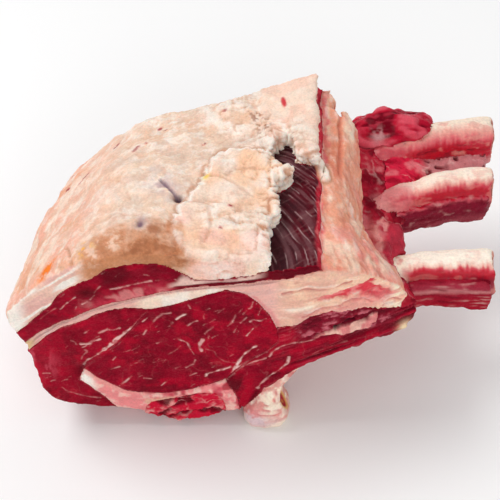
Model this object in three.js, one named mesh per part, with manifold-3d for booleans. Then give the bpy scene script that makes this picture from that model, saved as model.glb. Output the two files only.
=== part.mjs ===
// Raw beef rib roast with three trimmed rib bones, resting on its sawn chine side.
// Millimetres, +Z up. X runs along the ribs towards their sawn tips, Y from the front cut face to the
// back one.
// The origin is on the ground, under the middle of the roast's bounding box.
//
// The muscle and fat layers run through the roast from one cut face to the other. Their outlines are drawn
// once, on the front face, as curves that neighbouring layers share, and one mapping carries every outline
// through the depth. So the layers always fit each other with the same small gap.

import * as THREE from 'three';
import { mergeVertices } from 'three/addons/utils/BufferGeometryUtils.js';
import Module from 'manifold-3d';

const wasm = await Module();
wasm.setup();

// ---- Driving dimensions ------------------------------------------------------------------------------

const GAP = 0.6; // clear space between neighbouring layers, and round the bones
const CURVE_STEP = 12; // spacing of points along a layer's outline
const DEPTH_STEPS = 8; // facets from the front face to the back face

const FRONT_Y = -88; // the front cut face, at the chine side
const FRONT_BOW = 0.0026; // the front face curves back towards the tail, per mm squared
const BOW_FROM = 10; // where along X that curve starts
const BACK_Y = 64; // the back cut face, at the chine side
const BACK_REACH = 17; // how much further back it is at the cap's edge
const BACK_FROM = -20; // where along X it starts to reach back
const FOLDS_FROM = 58; // where the back face steps forwards again, beside the first fold of fat
const FOLDS_TO = 70; // and where that step ends

const LEFT_EDGE = -153; // tip of the fat cap
const CAP_EDGE = 40; // where the fat cap ends, towards the ribs
const TAIL = 108; // end of the meat on the front face
const TAIL_PULL = 27; // how much shorter the upper part of the tail is behind the front face
const RIB_RISE = 20; // how much higher the third rib lies than the first
const SOLE_DROP = 26; // how much lower the chine side is behind the front face
const CAP_SPREAD = 7; // how far the fat cap's edge slants outwards to the back
const NARROWING = 20; // how far the chine side closes in to the back, once evenly and once more at the end
const SHOULDER_DROP = 14; // how much lower the cap lies at the back of the chine side

// Where those changes act: from none at the first number to all at the second, in heights or in shares
// of the depth.
const PULL_HEIGHTS = [74, 104];
const PULL_DEPTHS = [0, 0.35];
const SOLE_HEIGHTS = [105, 10];
const SOLE_DEPTHS = [0, 0.4];
const SOLE_REACH = [40, -10]; // along X
const SHOULDER_HEIGHTS = [95, 150];
const SHOULDER_DEPTHS = [0.5, 1];
const SHOULDER_REACH = [0, -70]; // along X
const RISE_REACH = [0, 100]; // along X

const RIB_WIDTH = 27;
const RIB_THICKNESS = 33;
const RIB_TIP = 160; // where the shortest rib is sawn off
const HEAD_RADIUS = 17;

// Each rib's y at its tip and at its head, the x from which it runs straight, how far its tip is raised,
// how much longer it is than RIB_TIP, and the thickness of the meat left on its front side.
const RIBS = [
  { tip: -24, head: -78, straight: 118, raise: 0, extra: 2, strip: 6 },
  { tip: 46, head: -6, straight: RIB_TIP, raise: 12, extra: 7, strip: 3 },
  { tip: 89, head: 38, straight: RIB_TIP, raise: RIB_RISE, extra: 12, strip: 0 },
];

const BEYOND_TAIL = TAIL + 15;
const FAR = 400; // beyond the roast on every side

// ---- Small helpers -----------------------------------------------------------------------------------

const { lerp, smoothstep: smooth } = THREE.MathUtils;
const falling = (value, none, all) => 1 - smooth(value, all, none);
const within = (value, [none, all]) => (none < all ? smooth : falling)(value, none, all);
const vec = (points) => points.map(([x, y]) => new THREE.Vector2(x, y));

// A smooth curve through the points, sampled evenly, ends included.
function curve(...points) {
  const spline = new THREE.SplineCurve(vec(points));
  const count = Math.max(1, Math.round(spline.getLength() / CURVE_STEP));
  return spline.getSpacedPoints(count);
}

const reversed = (points) => [...points].reverse();

// Joins curves that meet end to end into one closed outline, turning counterclockwise.
function outline(...curves) {
  const points = curves.flatMap((c) => c.slice(0, -1));
  return THREE.ShapeUtils.isClockWise(points) ? reversed(points) : points;
}

// Moves each side of a counterclockwise outline outwards, or inwards if the distance is negative.
function grow(points, distance) {
  const sharpest = 0.35; // limits how far a pointed corner moves
  return points.map((p, i) => {
    const before = points.at(i - 1);
    const after = points[(i + 1) % points.length];
    const a = p.clone().sub(before).normalize();
    const b = after.clone().sub(p).normalize();
    const normal = new THREE.Vector2(a.y + b.y, -a.x - b.x).normalize();
    const mitre = Math.max(sharpest, normal.dot(new THREE.Vector2(a.y, -a.x)));
    return p.clone().addScaledVector(normal, distance / mitre);
  });
}

function solid(geometry) {
  const bare = geometry.index ? geometry.toNonIndexed() : geometry.clone();
  for (const name of Object.keys(bare.attributes)) if (name !== 'position') bare.deleteAttribute(name);
  const merged = mergeVertices(bare, 1e-3);
  return new wasm.Manifold(
    new wasm.Mesh({
      numProp: 3,
      vertProperties: merged.attributes.position.array,
      triVerts: new Uint32Array(merged.index.array),
    }),
  );
}

function geometryOf(manifold) {
  const mesh = manifold.getMesh();
  const positions = new Float32Array(mesh.numVert * 3);
  for (let i = 0; i < mesh.numVert; i++) {
    positions.set(mesh.vertProperties.subarray(i * mesh.numProp, i * mesh.numProp + 3), i * 3);
  }
  return new THREE.BufferGeometry()
    .setAttribute('position', new THREE.BufferAttribute(positions, 3))
    .setIndex(new THREE.BufferAttribute(mesh.triVerts, 1));
}

// Replaces every vertex of a geometry by what the function makes of it.
function bend(geometry, place) {
  const position = geometry.attributes.position;
  const v = new THREE.Vector3();
  for (let i = 0; i < position.count; i++) {
    v.fromBufferAttribute(position, i);
    position.setXYZ(i, ...place(v.x, v.y, v.z));
  }
  return geometry;
}

// An upright prism over an outline in plan.
function prism(points, low, high) {
  const shape = new THREE.Shape(points);
  const depth = high - low;
  return solid(new THREE.ExtrudeGeometry(shape, { depth, bevelEnabled: false }).translate(0, 0, low));
}

const cutBy = (manifold, cutters) => cutters.reduce((rest, cutter) => rest.subtract(cutter), manifold);

// ---- The layers' outlines on the front face ----------------------------------------------------------

// Where three outlines meet, or where one meets the outside.
const capTip = [LEFT_EDGE, 112];
const capHeel = [-148, 92];
const muscleHeel = [-143, 84];
const seamHeel = [-142, 76];
const capCorner = [CAP_EDGE, 161];
const muscleCorner = [CAP_EDGE, 153];
const seamCorner = [CAP_EDGE + 4, 147];
const eyeTopLeft = [-62, 114];
const eyeRight = [17, 98];
const eyeLeft = [-108, 60];
const eyeBottom = [-16, 50];
const tailTop = [98, 98];
const tailFoot = [TAIL - 6, 74];
const seamFootLeft = [-88, 20];
const chineLeft = [-71, 16];
const chineRight = [-16, 15];
const ribFoot = [-7, 17];

const skin = curve(
  capTip, [-134, 134], [-114, 150], [-94, 160], [-62, 165], [-30, 163], [0, 161], [24, 163], capCorner,
);
const capEnd = curve(capCorner, muscleCorner);
const capUnder = curve(
  capHeel, [-131, 110], [-116, 129], [-108, 137], [-100, 142], [-93, 149], [-81, 153], [-62, 156],
  [-50, 154], [-41, 148], [-32, 142], [-18, 142], [4, 146], [22, 151], muscleCorner,
);
const capLeft = curve(capTip, [-152, 100], capHeel);
const muscleLeft = curve(capHeel, muscleHeel);
const muscleRight = curve(muscleCorner, seamCorner);
const muscleUnder = curve(
  muscleHeel, [-131, 95], [-116, 105], [-101, 113], [-85, 121], [-61, 129], [-38, 135],
  [-15, 137], [9, 140], [30, 144], seamCorner,
);
const seamLeft = curve(muscleHeel, seamHeel);
const seamRight = curve(seamCorner, [57, 144], [73, 137], [88, 126], [101, 112], tailTop);
const seamUnder = curve(seamHeel, [-124, 94], [-96, 110], [-76, 117], eyeTopLeft);
const eyeTop = curve(
  eyeTopLeft, [-48, 120], [-34, 126], [-22, 131], [-12, 133], [-3, 129], [8, 119], [14, 108], eyeRight,
);
const seamTail = curve(eyeRight, [30, 102], [42, 110], [62, 109], [80, 103], tailTop);
const eyeTopSide = curve(eyeTopLeft, [-74, 98], [-88, 79], eyeLeft);
const eyeUnder = curve(eyeLeft, [-100, 52], [-88, 42], [-70, 36], [-46, 37], [-28, 45], eyeBottom);
const eyeSide = curve(eyeBottom, [-8, 60], [6, 73], [17, 81], [20, 89], eyeRight);
const wrapInside = curve(eyeLeft, [-112, 51], [-101, 38], seamFootLeft);
const wrapOutside = curve(seamHeel, [-139, 57], [-137, 41], [-129, 27], [-112, 22], seamFootLeft);
const seamFoot = curve(seamFootLeft, chineLeft);
const chineTop = curve(chineLeft, [-65, 26], [-51, 29], [-36, 35], [-24, 37], [-18, 28], chineRight);
const chineUnder = curve(chineLeft, [-56, 7], [-34, 7], chineRight);
const seamSole = curve(chineRight, ribFoot);
const seamRibSide = curve(eyeBottom, [-9, 32], ribFoot);
const ribUnder = curve(ribFoot, [5, 31], [18, 47], [34, 58], [54, 68], [78, 73], tailFoot);
const ribEnd = curve(tailFoot, [TAIL + 1, 81], [TAIL + 2, 92], [TAIL - 3, 99], tailTop);

const OUTLINES = {
  eye_muscle: outline(eyeTopSide, eyeUnder, eyeSide, reversed(eyeTop)),
  cap_muscle: outline(muscleLeft, muscleUnder, reversed(muscleRight), reversed(capUnder)),
  fat_cap: outline(capLeft, capUnder, reversed(capEnd), reversed(skin)),
  seam_fat: outline(seamLeft, seamUnder, eyeTop, seamTail, reversed(seamRight), reversed(muscleUnder)),
  side_muscle: outline(wrapOutside, reversed(wrapInside), reversed(eyeTopSide), reversed(seamUnder)),
  chine_trim: outline(chineUnder, reversed(chineTop)),
  lower_fat: outline(wrapInside, seamFoot, chineTop, seamSole, reversed(seamRibSide), reversed(eyeUnder)),
  rib_meat: outline(seamRibSide, ribUnder, ribEnd, reversed(seamTail), reversed(eyeSide)),
};

// ---- The roast's depth -------------------------------------------------------------------------------

const frontY = (u) => FRONT_Y + FRONT_BOW * Math.max(0, u - BOW_FROM) ** 2;
const backShare = (u) => smooth(u, BACK_FROM, CAP_EDGE) - smooth(u, FOLDS_FROM, FOLDS_TO);
const backY = (u) => BACK_Y + BACK_REACH * backShare(u);

// Carries the point (u, w) of the front outline to the depth t, from 0 at the front face to 1 at the back.
function place(u, w, t) {
  const chineSide = 1 - smooth(u, LEFT_EDGE, CAP_EDGE);
  const tailSide = smooth(u, CAP_EDGE, TAIL);
  const narrowing = NARROWING * (t + t ** 3) * chineSide;
  const spread = CAP_SPREAD * t * smooth(u, 0, CAP_EDGE) * (1 - tailSide);
  const pull = TAIL_PULL * within(t, PULL_DEPTHS) * within(w, PULL_HEIGHTS) * tailSide;
  const sole = SOLE_DROP * within(t, SOLE_DEPTHS) * within(w, SOLE_HEIGHTS) * within(u, SOLE_REACH);
  const shoulderShare = within(t, SHOULDER_DEPTHS) * within(w, SHOULDER_HEIGHTS);
  const shoulder = SHOULDER_DROP * shoulderShare * within(u, SHOULDER_REACH);
  const rise = RIB_RISE * t * within(u, RISE_REACH);
  return [u + narrowing + spread - pull, lerp(frontY(u), backY(u), t), w + rise - sole - shoulder];
}

// A layer as a solid, its outline moved outwards by margin. It reaches a little past both cut faces.
function layer(points, margin) {
  const overshoot = 0.05; // as a share of the depth
  const shape = new THREE.Shape(grow(points, margin));
  const slab = new THREE.ExtrudeGeometry(shape, { depth: 1, steps: DEPTH_STEPS, bevelEnabled: false });
  return solid(bend(slab, (u, w, back) => place(u, w, lerp(1 + overshoot, -overshoot, back))));
}

// Points of a cut face in plan.
function facePoints(from, to, faceY) {
  const facets = 11;
  return Array.from({ length: facets + 1 }, (_, i) => lerp(from, to, i / facets)).map((x) => [x, faceY(x)]);
}

// The roast in plan, between its front and back cut faces.
const FOOTPRINT = vec([
  [-FAR, FRONT_Y], ...facePoints(BOW_FROM, BEYOND_TAIL, frontY),
  ...facePoints(BEYOND_TAIL, BACK_FROM, backY), [-FAR, BACK_Y],
]);
const trunk = (margin) => prism(grow(FOOTPRINT, margin), -margin, FAR);

// ---- Ribs --------------------------------------------------------------------------------------------

// A rib's middle line in X and Z, from the joint knob up round the arch to the sawn tip. It starts below
// the ground, which cuts the knob flat.
const RIB_LINE = new THREE.SplineCurve(
  vec([
    [11, -8], [11, 16], [14, 34], [22, 52], [36, 67], [56, 76], [80, 80], [106, 82], [134, 82],
    [RIB_TIP, 81],
  ]),
);
const KNOB_END = 0.1; // the share of the rib's length that is the round end of its head
const NECK = 0.2; // the share at which the rib is thinnest
const NECK_WIDTH = 22;
const NECK_THICKNESS = 18;
const FLARE_FROM = 0.6; // the share from which it gets wider
const FLARE_TO = 0.85; // and where it has its full thickness
const BARE_FROM = 0.64; // the share at which the ribs start to leave the meat
const BARE_TO = 0.985; // and the share at which the meat on them ends

// Half the rib's size across its line, in Y and in the plane of the arch, at a share s of its length.
function ribSize(s) {
  const head = 1 - smooth(s, KNOB_END, NECK);
  const end = Math.sqrt(1 - Math.max(0, 1 - s / KNOB_END) ** 2);
  const halfWidth = lerp(NECK_WIDTH, RIB_WIDTH, smooth(s, FLARE_FROM, 1)) / 2;
  const halfThickness = lerp(NECK_THICKNESS, RIB_THICKNESS, smooth(s, NECK, FLARE_TO)) / 2;
  return [lerp(halfWidth, HEAD_RADIUS, head) * end, lerp(halfThickness, HEAD_RADIUS, head) * end];
}

// The point at a share s of a rib's length, at distances from its middle line: across in Y, and outwards.
function ribPlace(rib, s, across, outwards) {
  const at = RIB_LINE.getPointAt(s);
  const along = RIB_LINE.getTangentAt(s);
  return new THREE.Vector3(
    at.x - along.y * outwards + rib.extra * smooth(at.x, 60, RIB_TIP),
    lerp(rib.head, rib.tip, smooth(at.x, 5, rib.straight)) + across,
    at.y + along.x * outwards + rib.raise * smooth(at.x, 0, 100),
  );
}

// The whole bone, with a rounded rectangle for its section.
function ribSolid(rib, margin) {
  const corner = 0.62; // 1 is an ellipse, 0 a sharp rectangle
  const tube = new THREE.CylinderGeometry(1, 1, 1, 12, 18);
  return solid(
    bend(tube, (x, y, z) => {
      const s = 0.5 + y;
      const [halfY, halfN] = ribSize(s);
      const across = Math.sign(x) * Math.abs(x) ** corner * (halfY + margin);
      const outwards = -Math.sign(z) * Math.abs(z) ** corner * (halfN + margin);
      return ribPlace(rib, s, across, outwards);
    }),
  );
}

// Thin meat left on the front side of a bare rib.
function stripSolid(rib) {
  const overlap = 4; // how far the slab reaches into the bone, which is cut out of it later
  const [low, high] = [-0.95, 0.4]; // its edges, as shares of the rib's half thickness
  const slab = new THREE.BoxGeometry(1, 1, 1, 8, 2, 3).translate(0.5, 0.5, 0.5);
  return solid(
    bend(slab, (x, y, z) => {
      const s = lerp(BARE_FROM, BARE_TO, x);
      const [halfY, halfN] = ribSize(s);
      const across = lerp(-halfY - rib.strip, overlap - halfY, y);
      return ribPlace(rib, s, across, lerp(low, high, z) * halfN);
    }),
  );
}

// The meat between two ribs, as thick as they are at the body and thin at the tips.
function webSolid(ribA, ribB) {
  const atTips = [-0.5, 0.15]; // its under and upper sides, as shares of the ribs' half thickness
  const atBody = [-0.85, 0.8];
  const slab = new THREE.BoxGeometry(1, 1, 1, 10, 3, 1).translate(0.5, 0.5, 0.5);
  return solid(
    bend(slab, (x, y, z) => {
      const s = lerp(BARE_FROM, BARE_TO, x);
      const halfN = ribSize(s)[1];
      const body = 1 - smooth(x, 0.15, 0.5);
      const outwards = lerp(lerp(atTips[0], atBody[0], body), lerp(atTips[1], atBody[1], body), z) * halfN;
      return ribPlace(ribA, s, 0, outwards).lerp(ribPlace(ribB, s, 0, outwards), y);
    }),
  );
}

// A lump of meat on top of the last rib, grown to the roast's body. Half its length, width and height, how
// it dips and turns, and where its middle is.
const LUMP = { size: [36, 20, 16], dip: -0.1, turn: 0.12, middle: [97, 84, 111] };

function lumpSolid() {
  const ball = new THREE.SphereGeometry(1, 12, 8).rotateX(Math.PI / 2);
  return solid(ball.scale(...LUMP.size).rotateY(LUMP.dip).rotateZ(LUMP.turn).translate(...LUMP.middle));
}

// ---- Cuts --------------------------------------------------------------------------------------------

// Where the fat cap is torn away, in plan: from the front face back along the ragged edge, round to the
// side.
const TEAR = vec([
  [8, -110], [12, -84], [12, -52], [19, -44], [14, -22], [28, -15], [26, -9], [17, -2], [12, 12], [23, 26],
  [29, 18], [29, 4], [41, 1], [70, -3], [70, -110],
]);

// The cleft between two folds of fat at the back of the side, and the blunt end of the second fold, in
// plan.
const CLEFT = vec([[59, 5], [62, 67], [84, 67], [84, 110], [58, 110]]);

const TEAR_FLOOR = 100; // below the fat cap
const CLEFT_FLOOR = 128; // how deep the cleft goes

const ground = prism(vec([[-FAR, -FAR], [FAR, -FAR], [FAR, FAR], [-FAR, FAR]]), -FAR, 0);

// ---- Assembly ----------------------------------------------------------------------------------------

const COLOURS = {
  fat_cap: '#efd3bb',
  cap_muscle: '#7d1626',
  seam_fat: '#f0b8a2',
  eye_muscle: '#9c1229',
  side_muscle: '#8f1024',
  lower_fat: '#d98a8c',
  chine_trim: '#a52a35',
  rib_meat: '#9a1a2c',
  lump: '#a8182f',
  web: '#b02a3c',
  strip: '#a32335',
  rib: '#f2e2cf',
};

const roast = new THREE.Group();

function add(name, manifold, colour) {
  const material = new THREE.MeshStandardMaterial({ color: colour, roughness: 0.45, metalness: 0 });
  const mesh = new THREE.Mesh(geometryOf(manifold), material);
  mesh.name = name;
  roast.add(mesh);
}

const bones = RIBS.map((rib) => ribSolid(rib, 0).subtract(ground));
const boneRooms = RIBS.map((rib) => ribSolid(rib, GAP / 2));

// Each layer is also cut by those before it, where the facets of the two would otherwise cross.
const layers = {};
const rooms = [...boneRooms];
for (const [name, points] of Object.entries(OUTLINES)) {
  layers[name] = cutBy(layer(points, -GAP / 2).intersect(trunk(0)), rooms);
  rooms.push(layer(points, 0));
}
layers.fat_cap = layers.fat_cap.subtract(prism(TEAR, TEAR_FLOOR, FAR));
layers.seam_fat = layers.seam_fat.subtract(prism(CLEFT, CLEFT_FLOOR, FAR));

const roomOf = (points) => layer(points, GAP / 2).intersect(trunk(GAP / 2));
const tailRooms = [OUTLINES.rib_meat, OUTLINES.seam_fat].map(roomOf);
const webRoom = webSolid(RIBS[1], RIBS[2]);
const web = cutBy(webRoom, [...boneRooms, ...tailRooms]);
const lump = cutBy(lumpSolid(), [...boneRooms, ...tailRooms, webRoom]);

for (const [name, manifold] of Object.entries(layers)) add(name, manifold, COLOURS[name]);
bones.forEach((bone, i) => add(`rib_${i + 1}`, bone, COLOURS.rib));
RIBS.forEach((rib, i) => {
  if (rib.strip) add(`strip_${i + 1}`, cutBy(stripSolid(rib), [...boneRooms, ...tailRooms]), COLOURS.strip);
});
add('web', web, COLOURS.web);
add('lump', lump, COLOURS.lump);

const middle = new THREE.Box3().setFromObject(roast).getCenter(new THREE.Vector3());
roast.position.set(-middle.x, -middle.y, 0);

export default roast;
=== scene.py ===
"""Looks of the raw beef rib roast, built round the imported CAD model.

Every CAD solid is replaced by a dense, softened copy of itself with its own relief and colours.
Places are in millimetres of the part's drawing frame, whose X and Y differ from the scene's by SHIFT.
"""

import math
from functools import partial
from typing import Callable, NamedTuple

import bmesh
import bpy
import numpy as np
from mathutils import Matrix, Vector
from mathutils.bvhtree import BVHTree
from mathutils.kdtree import KDTree


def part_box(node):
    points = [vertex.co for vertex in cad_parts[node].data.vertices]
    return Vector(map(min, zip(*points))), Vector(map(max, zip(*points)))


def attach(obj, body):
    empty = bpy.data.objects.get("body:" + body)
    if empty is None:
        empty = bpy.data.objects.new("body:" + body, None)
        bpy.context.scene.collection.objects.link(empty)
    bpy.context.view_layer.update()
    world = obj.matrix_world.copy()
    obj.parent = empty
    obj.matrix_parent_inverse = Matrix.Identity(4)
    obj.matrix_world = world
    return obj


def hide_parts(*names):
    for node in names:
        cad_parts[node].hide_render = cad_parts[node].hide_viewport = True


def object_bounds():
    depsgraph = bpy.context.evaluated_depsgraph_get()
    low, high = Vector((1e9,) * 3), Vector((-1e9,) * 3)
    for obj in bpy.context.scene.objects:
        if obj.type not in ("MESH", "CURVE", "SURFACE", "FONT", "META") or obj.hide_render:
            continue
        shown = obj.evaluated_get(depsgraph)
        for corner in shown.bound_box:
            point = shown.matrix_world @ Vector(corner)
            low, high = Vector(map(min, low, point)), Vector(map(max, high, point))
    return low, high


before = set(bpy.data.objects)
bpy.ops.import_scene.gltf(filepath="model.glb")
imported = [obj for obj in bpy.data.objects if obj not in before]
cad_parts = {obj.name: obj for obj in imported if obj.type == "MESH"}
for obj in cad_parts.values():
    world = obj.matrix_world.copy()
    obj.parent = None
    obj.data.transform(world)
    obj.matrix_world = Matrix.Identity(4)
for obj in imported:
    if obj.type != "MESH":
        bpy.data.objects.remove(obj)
CAD_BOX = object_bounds()

# ---- Driving sizes ----

MM = 0.001
CAP_TIP_X = -153  # the fat cap's tip
CAP_EDGE = 40  # where the fat cap ends, towards the ribs
TAIL = 108  # the end of the meat on the front face
FRONT_Y = -88  # the front cut face, at the chine side
FRONT_BOW = 0.0026  # how it curves back towards the tail
BOW_FROM = 10
BACK_Y = 64  # the back cut face, at the chine side
SHIFT = np.array([
    CAD_BOX[0].x / MM - CAP_TIP_X,
    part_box("eye_muscle")[0].y / MM - FRONT_Y,
    0,
])
COARSER = 1
SEED = 7


# ---- Small helpers ----

def linear(colour):
    """The linear RGB values of a colour that is given as six hexadecimal digits."""
    c = np.array(list(bytes.fromhex(colour))) / 255
    return np.where(c <= 0.04045, c / 12.92, ((c + 0.055) / 1.055) ** 2.4)


def smooth(low, high, x):
    t = np.clip((x - low) / (high - low), 0, 1)
    return t * t * (3 - 2 * t)


_random = np.random.default_rng(SEED)
_order = _random.permutation(256)
_values = _random.uniform(-1, 1, 256)


def noise(points, size, seed=0, stretch=(1, 1, 1)):
    """Smooth random values from -1 to 1, whose features are about size across and longer by stretch."""
    p = points / (size * np.array(stretch)) + seed * 17.31
    cell = np.floor(p).astype(np.int64)
    f = p - cell
    f = f * f * f * (f * (f * 6 - 15) + 10)
    total = np.zeros(len(p))
    for corner in range(8):
        bits = np.array([corner & 1, corner >> 1 & 1, corner >> 2 & 1])
        i, j, k = ((cell + bits) & 255).T
        value = _values[_order[(_order[(_order[i] + j) & 255] + k) & 255]]
        weight = np.where(bits, f, 1 - f).prod(1)
        total += value * weight
    return total


def fractal(points, size, seed, octaves=3, stretch=(1, 1, 1), fall=0.5):
    """Noise with finer and finer noise added to it."""
    total = np.zeros(len(points))
    for octave in range(octaves):
        total += fall ** octave * noise(points, size / 2 ** octave, seed + octave, stretch)
    return total


def patches(points, low, high, size, seed, octaves=3, stretch=(1, 1, 1), fall=0.5):
    """Soft random patches: 0 where the fractal noise is at low, and 1 where it is at high."""
    return smooth(low, high, fractal(points, size, seed, octaves, stretch, fall))


def at(x, y, z):
    """Points from their coordinates, any of which may be one number for all."""
    return np.stack(np.broadcast_arrays(x, y, z), 1)


def spline(points, step=1):
    """A smooth line through the points, sampled about every step."""
    p = np.array(points, float)
    p = np.vstack([2 * p[0] - p[1], p, 2 * p[-1] - p[-2]])
    line = []
    for a, b, c, d in zip(p, p[1:], p[2:], p[3:]):
        t = np.linspace(0, 1, max(2, int(np.linalg.norm(c - b) / step)), endpoint=False)[:, None]
        line.append(0.5 * (2 * b + (c - a) * t + (2 * a - 5 * b + 4 * c - d) * t ** 2
                           + (3 * b - a - 3 * c + d) * t ** 3))
    return np.vstack([*line, p[-2:-1]])


def distance_to(points, line):
    """Each point's distance to a line of close samples."""
    nearest = np.full(len(points), 1e9)
    for sample in line:
        nearest = np.minimum(nearest, ((points - sample) ** 2).sum(1))
    return np.sqrt(nearest)


def billow(points, size, seed=0, stretch=(1, 1, 1)):
    """Round lumps, from 0 in the creases between them to about 1."""
    return 1 - np.abs(1 - 2 * np.abs(noise(points, size, seed, stretch)))


# ---- Dense pieces ----

def pulled(elements, name, width=1, kind=float):
    """One property of all of a mesh's elements, as an array."""
    values = np.empty(len(elements) * width, kind)
    elements.foreach_get(name, values)
    return values.reshape(-1, width) if width > 1 else values


class Skin:
    """A piece's mesh as arrays, in millimetres of the drawing frame."""

    def __init__(self, piece):
        self.piece = piece
        self.read()

    def read(self):
        mesh = self.piece.data
        self.points = pulled(mesh.vertices, "co", 3) / MM - SHIFT
        self.edges = pulled(mesh.edges, "vertices", 2, np.int64)
        self.degree = np.bincount(self.edges.ravel(), minlength=len(self.points))[:, None]

    def write(self):
        mesh = self.piece.data
        mesh.vertices.foreach_set("co", ((self.points + SHIFT) * MM).ravel())
        mesh.update()

    def around(self, values):
        """The mean of each vertex's neighbours."""
        a, b = self.edges.T
        total = [np.bincount(a, v[b], len(v)) + np.bincount(b, v[a], len(v)) for v in values.T]
        return np.stack(total, 1) / self.degree

    def relax(self, steps, weight):
        """Moves the points towards their neighbours. weight has one or three values per point."""
        weight = 0.6 * weight.reshape(len(weight), -1)
        for _ in range(steps):
            self.points = self.points + weight * (self.around(self.points) - self.points)

    def blur(self, values, steps):
        values = values[:, None]
        for _ in range(steps):
            values = 0.5 * values + 0.5 * self.around(values)
        return values[:, 0]

    def normals(self):
        self.write()
        return pulled(self.piece.data.vertex_normals, "vector", 3)

    def open_normals(self, hidden):
        """Vertex normals that only count the faces with no hidden corner."""
        self.write()
        mesh = self.piece.data
        corners = pulled(mesh.loops, "vertex_index", 1, np.int64)
        sizes = pulled(mesh.polygons, "loop_total", 1, np.int64)
        owner = np.repeat(np.arange(len(sizes)), sizes)
        shut = np.bincount(owner, hidden[corners], len(sizes)) > 0
        use = ~shut[owner]
        facing = pulled(mesh.polygons, "normal", 3)[owner[use]]
        normals = np.stack([np.bincount(corners[use], values, len(hidden)) for values in facing.T], 1)
        length = np.linalg.norm(normals, axis=1, keepdims=True)
        return np.where(length > 0.1, normals / np.maximum(length, 0.1), self.normals())

    def crisp(self, hidden, angle=0.8):
        """Shades the edges where an open face turns into a hidden wall as sharp ones."""
        touched = hidden | (self.around(hidden[:, None].astype(float))[:, 0] > 0)
        mesh = bmesh.new()
        mesh.from_mesh(self.piece.data)
        for edge, near in zip(mesh.edges, touched[self.edges].any(1)):
            edge.smooth = not (near and edge.calc_face_angle(0) > angle)
        mesh.to_mesh(self.piece.data)
        mesh.free()

    def store(self, name, values):
        """Keeps a colour or a number for every vertex, for the piece's material."""
        mesh = self.piece.data
        colour = np.ndim(values) > 1
        attribute = mesh.attributes.new(name, "FLOAT_COLOR" if colour else "FLOAT", "POINT")
        if colour:
            values = np.hstack([np.clip(values, 0, 1), np.ones((len(values), 1))])
        flat = np.ascontiguousarray(values, np.float32).ravel()
        attribute.data.foreach_set("color" if colour else "value", flat)


def added(name, data):
    """A new object in the scene."""
    thing = bpy.data.objects.new(name, data)
    bpy.context.scene.collection.objects.link(thing)
    return thing


def apply(piece, kind, **settings):
    """Gives a piece the mesh that a modifier makes of it."""
    modifier = piece.modifiers.new(kind, kind)
    for name, value in settings.items():
        setattr(modifier, name, value)
    mesh = bpy.data.meshes.new_from_object(piece.evaluated_get(bpy.context.evaluated_depsgraph_get()))
    piece.modifiers.clear()
    piece.data = mesh


def dense_copy(node, voxel):
    """A new piece with a CAD node's shape and an even, dense mesh."""
    piece = added(node + "_look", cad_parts[node].data.copy())
    apply(piece, "REMESH", mode="VOXEL", voxel_size=voxel * COARSER * MM)
    piece.data.materials.clear()
    piece.data.shade_smooth()
    return piece


def tree_of(objects):
    vertices, faces = [], []
    for o in objects:
        start = len(vertices)
        vertices += [v.co.copy() for v in o.data.vertices]
        faces += [[start + i for i in p.vertices] for p in o.data.polygons]
    return BVHTree.FromPolygons(vertices, faces)


# ---- The roast's own coordinates ----

def steps_of(u, w, t):
    """What the depth t adds to the front outline's point (u, w), as in the part's own mapping."""
    chine_side = 1 - smooth(CAP_TIP_X, CAP_EDGE, u)
    tail_side = smooth(CAP_EDGE, TAIL, u)
    narrowing = (20 * t + 20 * t ** 3) * chine_side
    spread = 7 * t * smooth(0, CAP_EDGE, u) * (1 - tail_side)
    pull = 27 * smooth(0, 0.35, t) * smooth(74, 104, w) * tail_side
    sole = 26 * smooth(0, 0.4, t) * (1 - smooth(10, 105, w)) * (1 - smooth(-10, 40, u))
    shoulder = 14 * smooth(0.5, 1, t) * smooth(95, 150, w) * (1 - smooth(-70, 0, u))
    rise = 20 * t * smooth(0, 100, u)
    return narrowing + spread - pull, rise - sole - shoulder


def front_y(u):
    return FRONT_Y + FRONT_BOW * np.maximum(0, u - BOW_FROM) ** 2


def back_y(u):
    return BACK_Y + 17 * (smooth(-20, CAP_EDGE, u) - smooth(58, 70, u))


def layer_places(points):
    """Each point's (u, w) on the front outline, and its depth, from 0 at the front cut to 1 at the back."""
    x, y, z = points.T
    u, w = x.copy(), z.copy()
    for _ in range(6):
        t = np.clip((y - front_y(u)) / (back_y(u) - front_y(u)), 0, 1)
        sideways, upwards = steps_of(u, w, t)
        u = x - sideways
        w = z - upwards
    return u, w, t


def warp(points):
    """The small unevenness that neighbouring layers share, so that their borders wander together."""
    x, y, z = points.T
    inside = smooth(0, 4, y - front_y(x)) * smooth(0, 4, back_y(x) - y)
    shift = np.stack([
        1.3 * noise(points, 17, 31) + 0.7 * noise(points, 7, 32),
        0.8 * noise(points, 20, 33) * inside,
        (1.3 * noise(points, 17, 34) + 0.7 * noise(points, 7, 35)) * smooth(1, 22, z),
    ], 1)
    return points + shift


# ---- From CAD node to skin ----

SKIN, WALL, BACK, FRONT, SOLE = range(5)
RAY_START = 0.4  # how far behind the surface the search for a neighbour begins
RAY_LENGTH = 2  # and how far it looks
POLISH = 50  # steps of smoothing that take the CAD's facets away
HALF_GAP = 0.5  # how far each hidden wall grows into the gap between the CAD solids


def kinds_of(skin, node):
    """Says of each vertex whether it is on open skin, against a neighbour, on a cut face or underneath."""
    normals = skin.normals()
    kind = np.where(buried(skin, node), WALL, SKIN)
    x, y, z = skin.points.T
    near = 1.2
    kind[(back_y(x) - y < near) & (normals[:, 1] > 0.7)] = BACK
    kind[(y - front_y(x) < near) & (normals[:, 1] < -0.7)] = FRONT
    kind[(z < near) & (normals[:, 2] < -0.7)] = SOLE
    return kind


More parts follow.
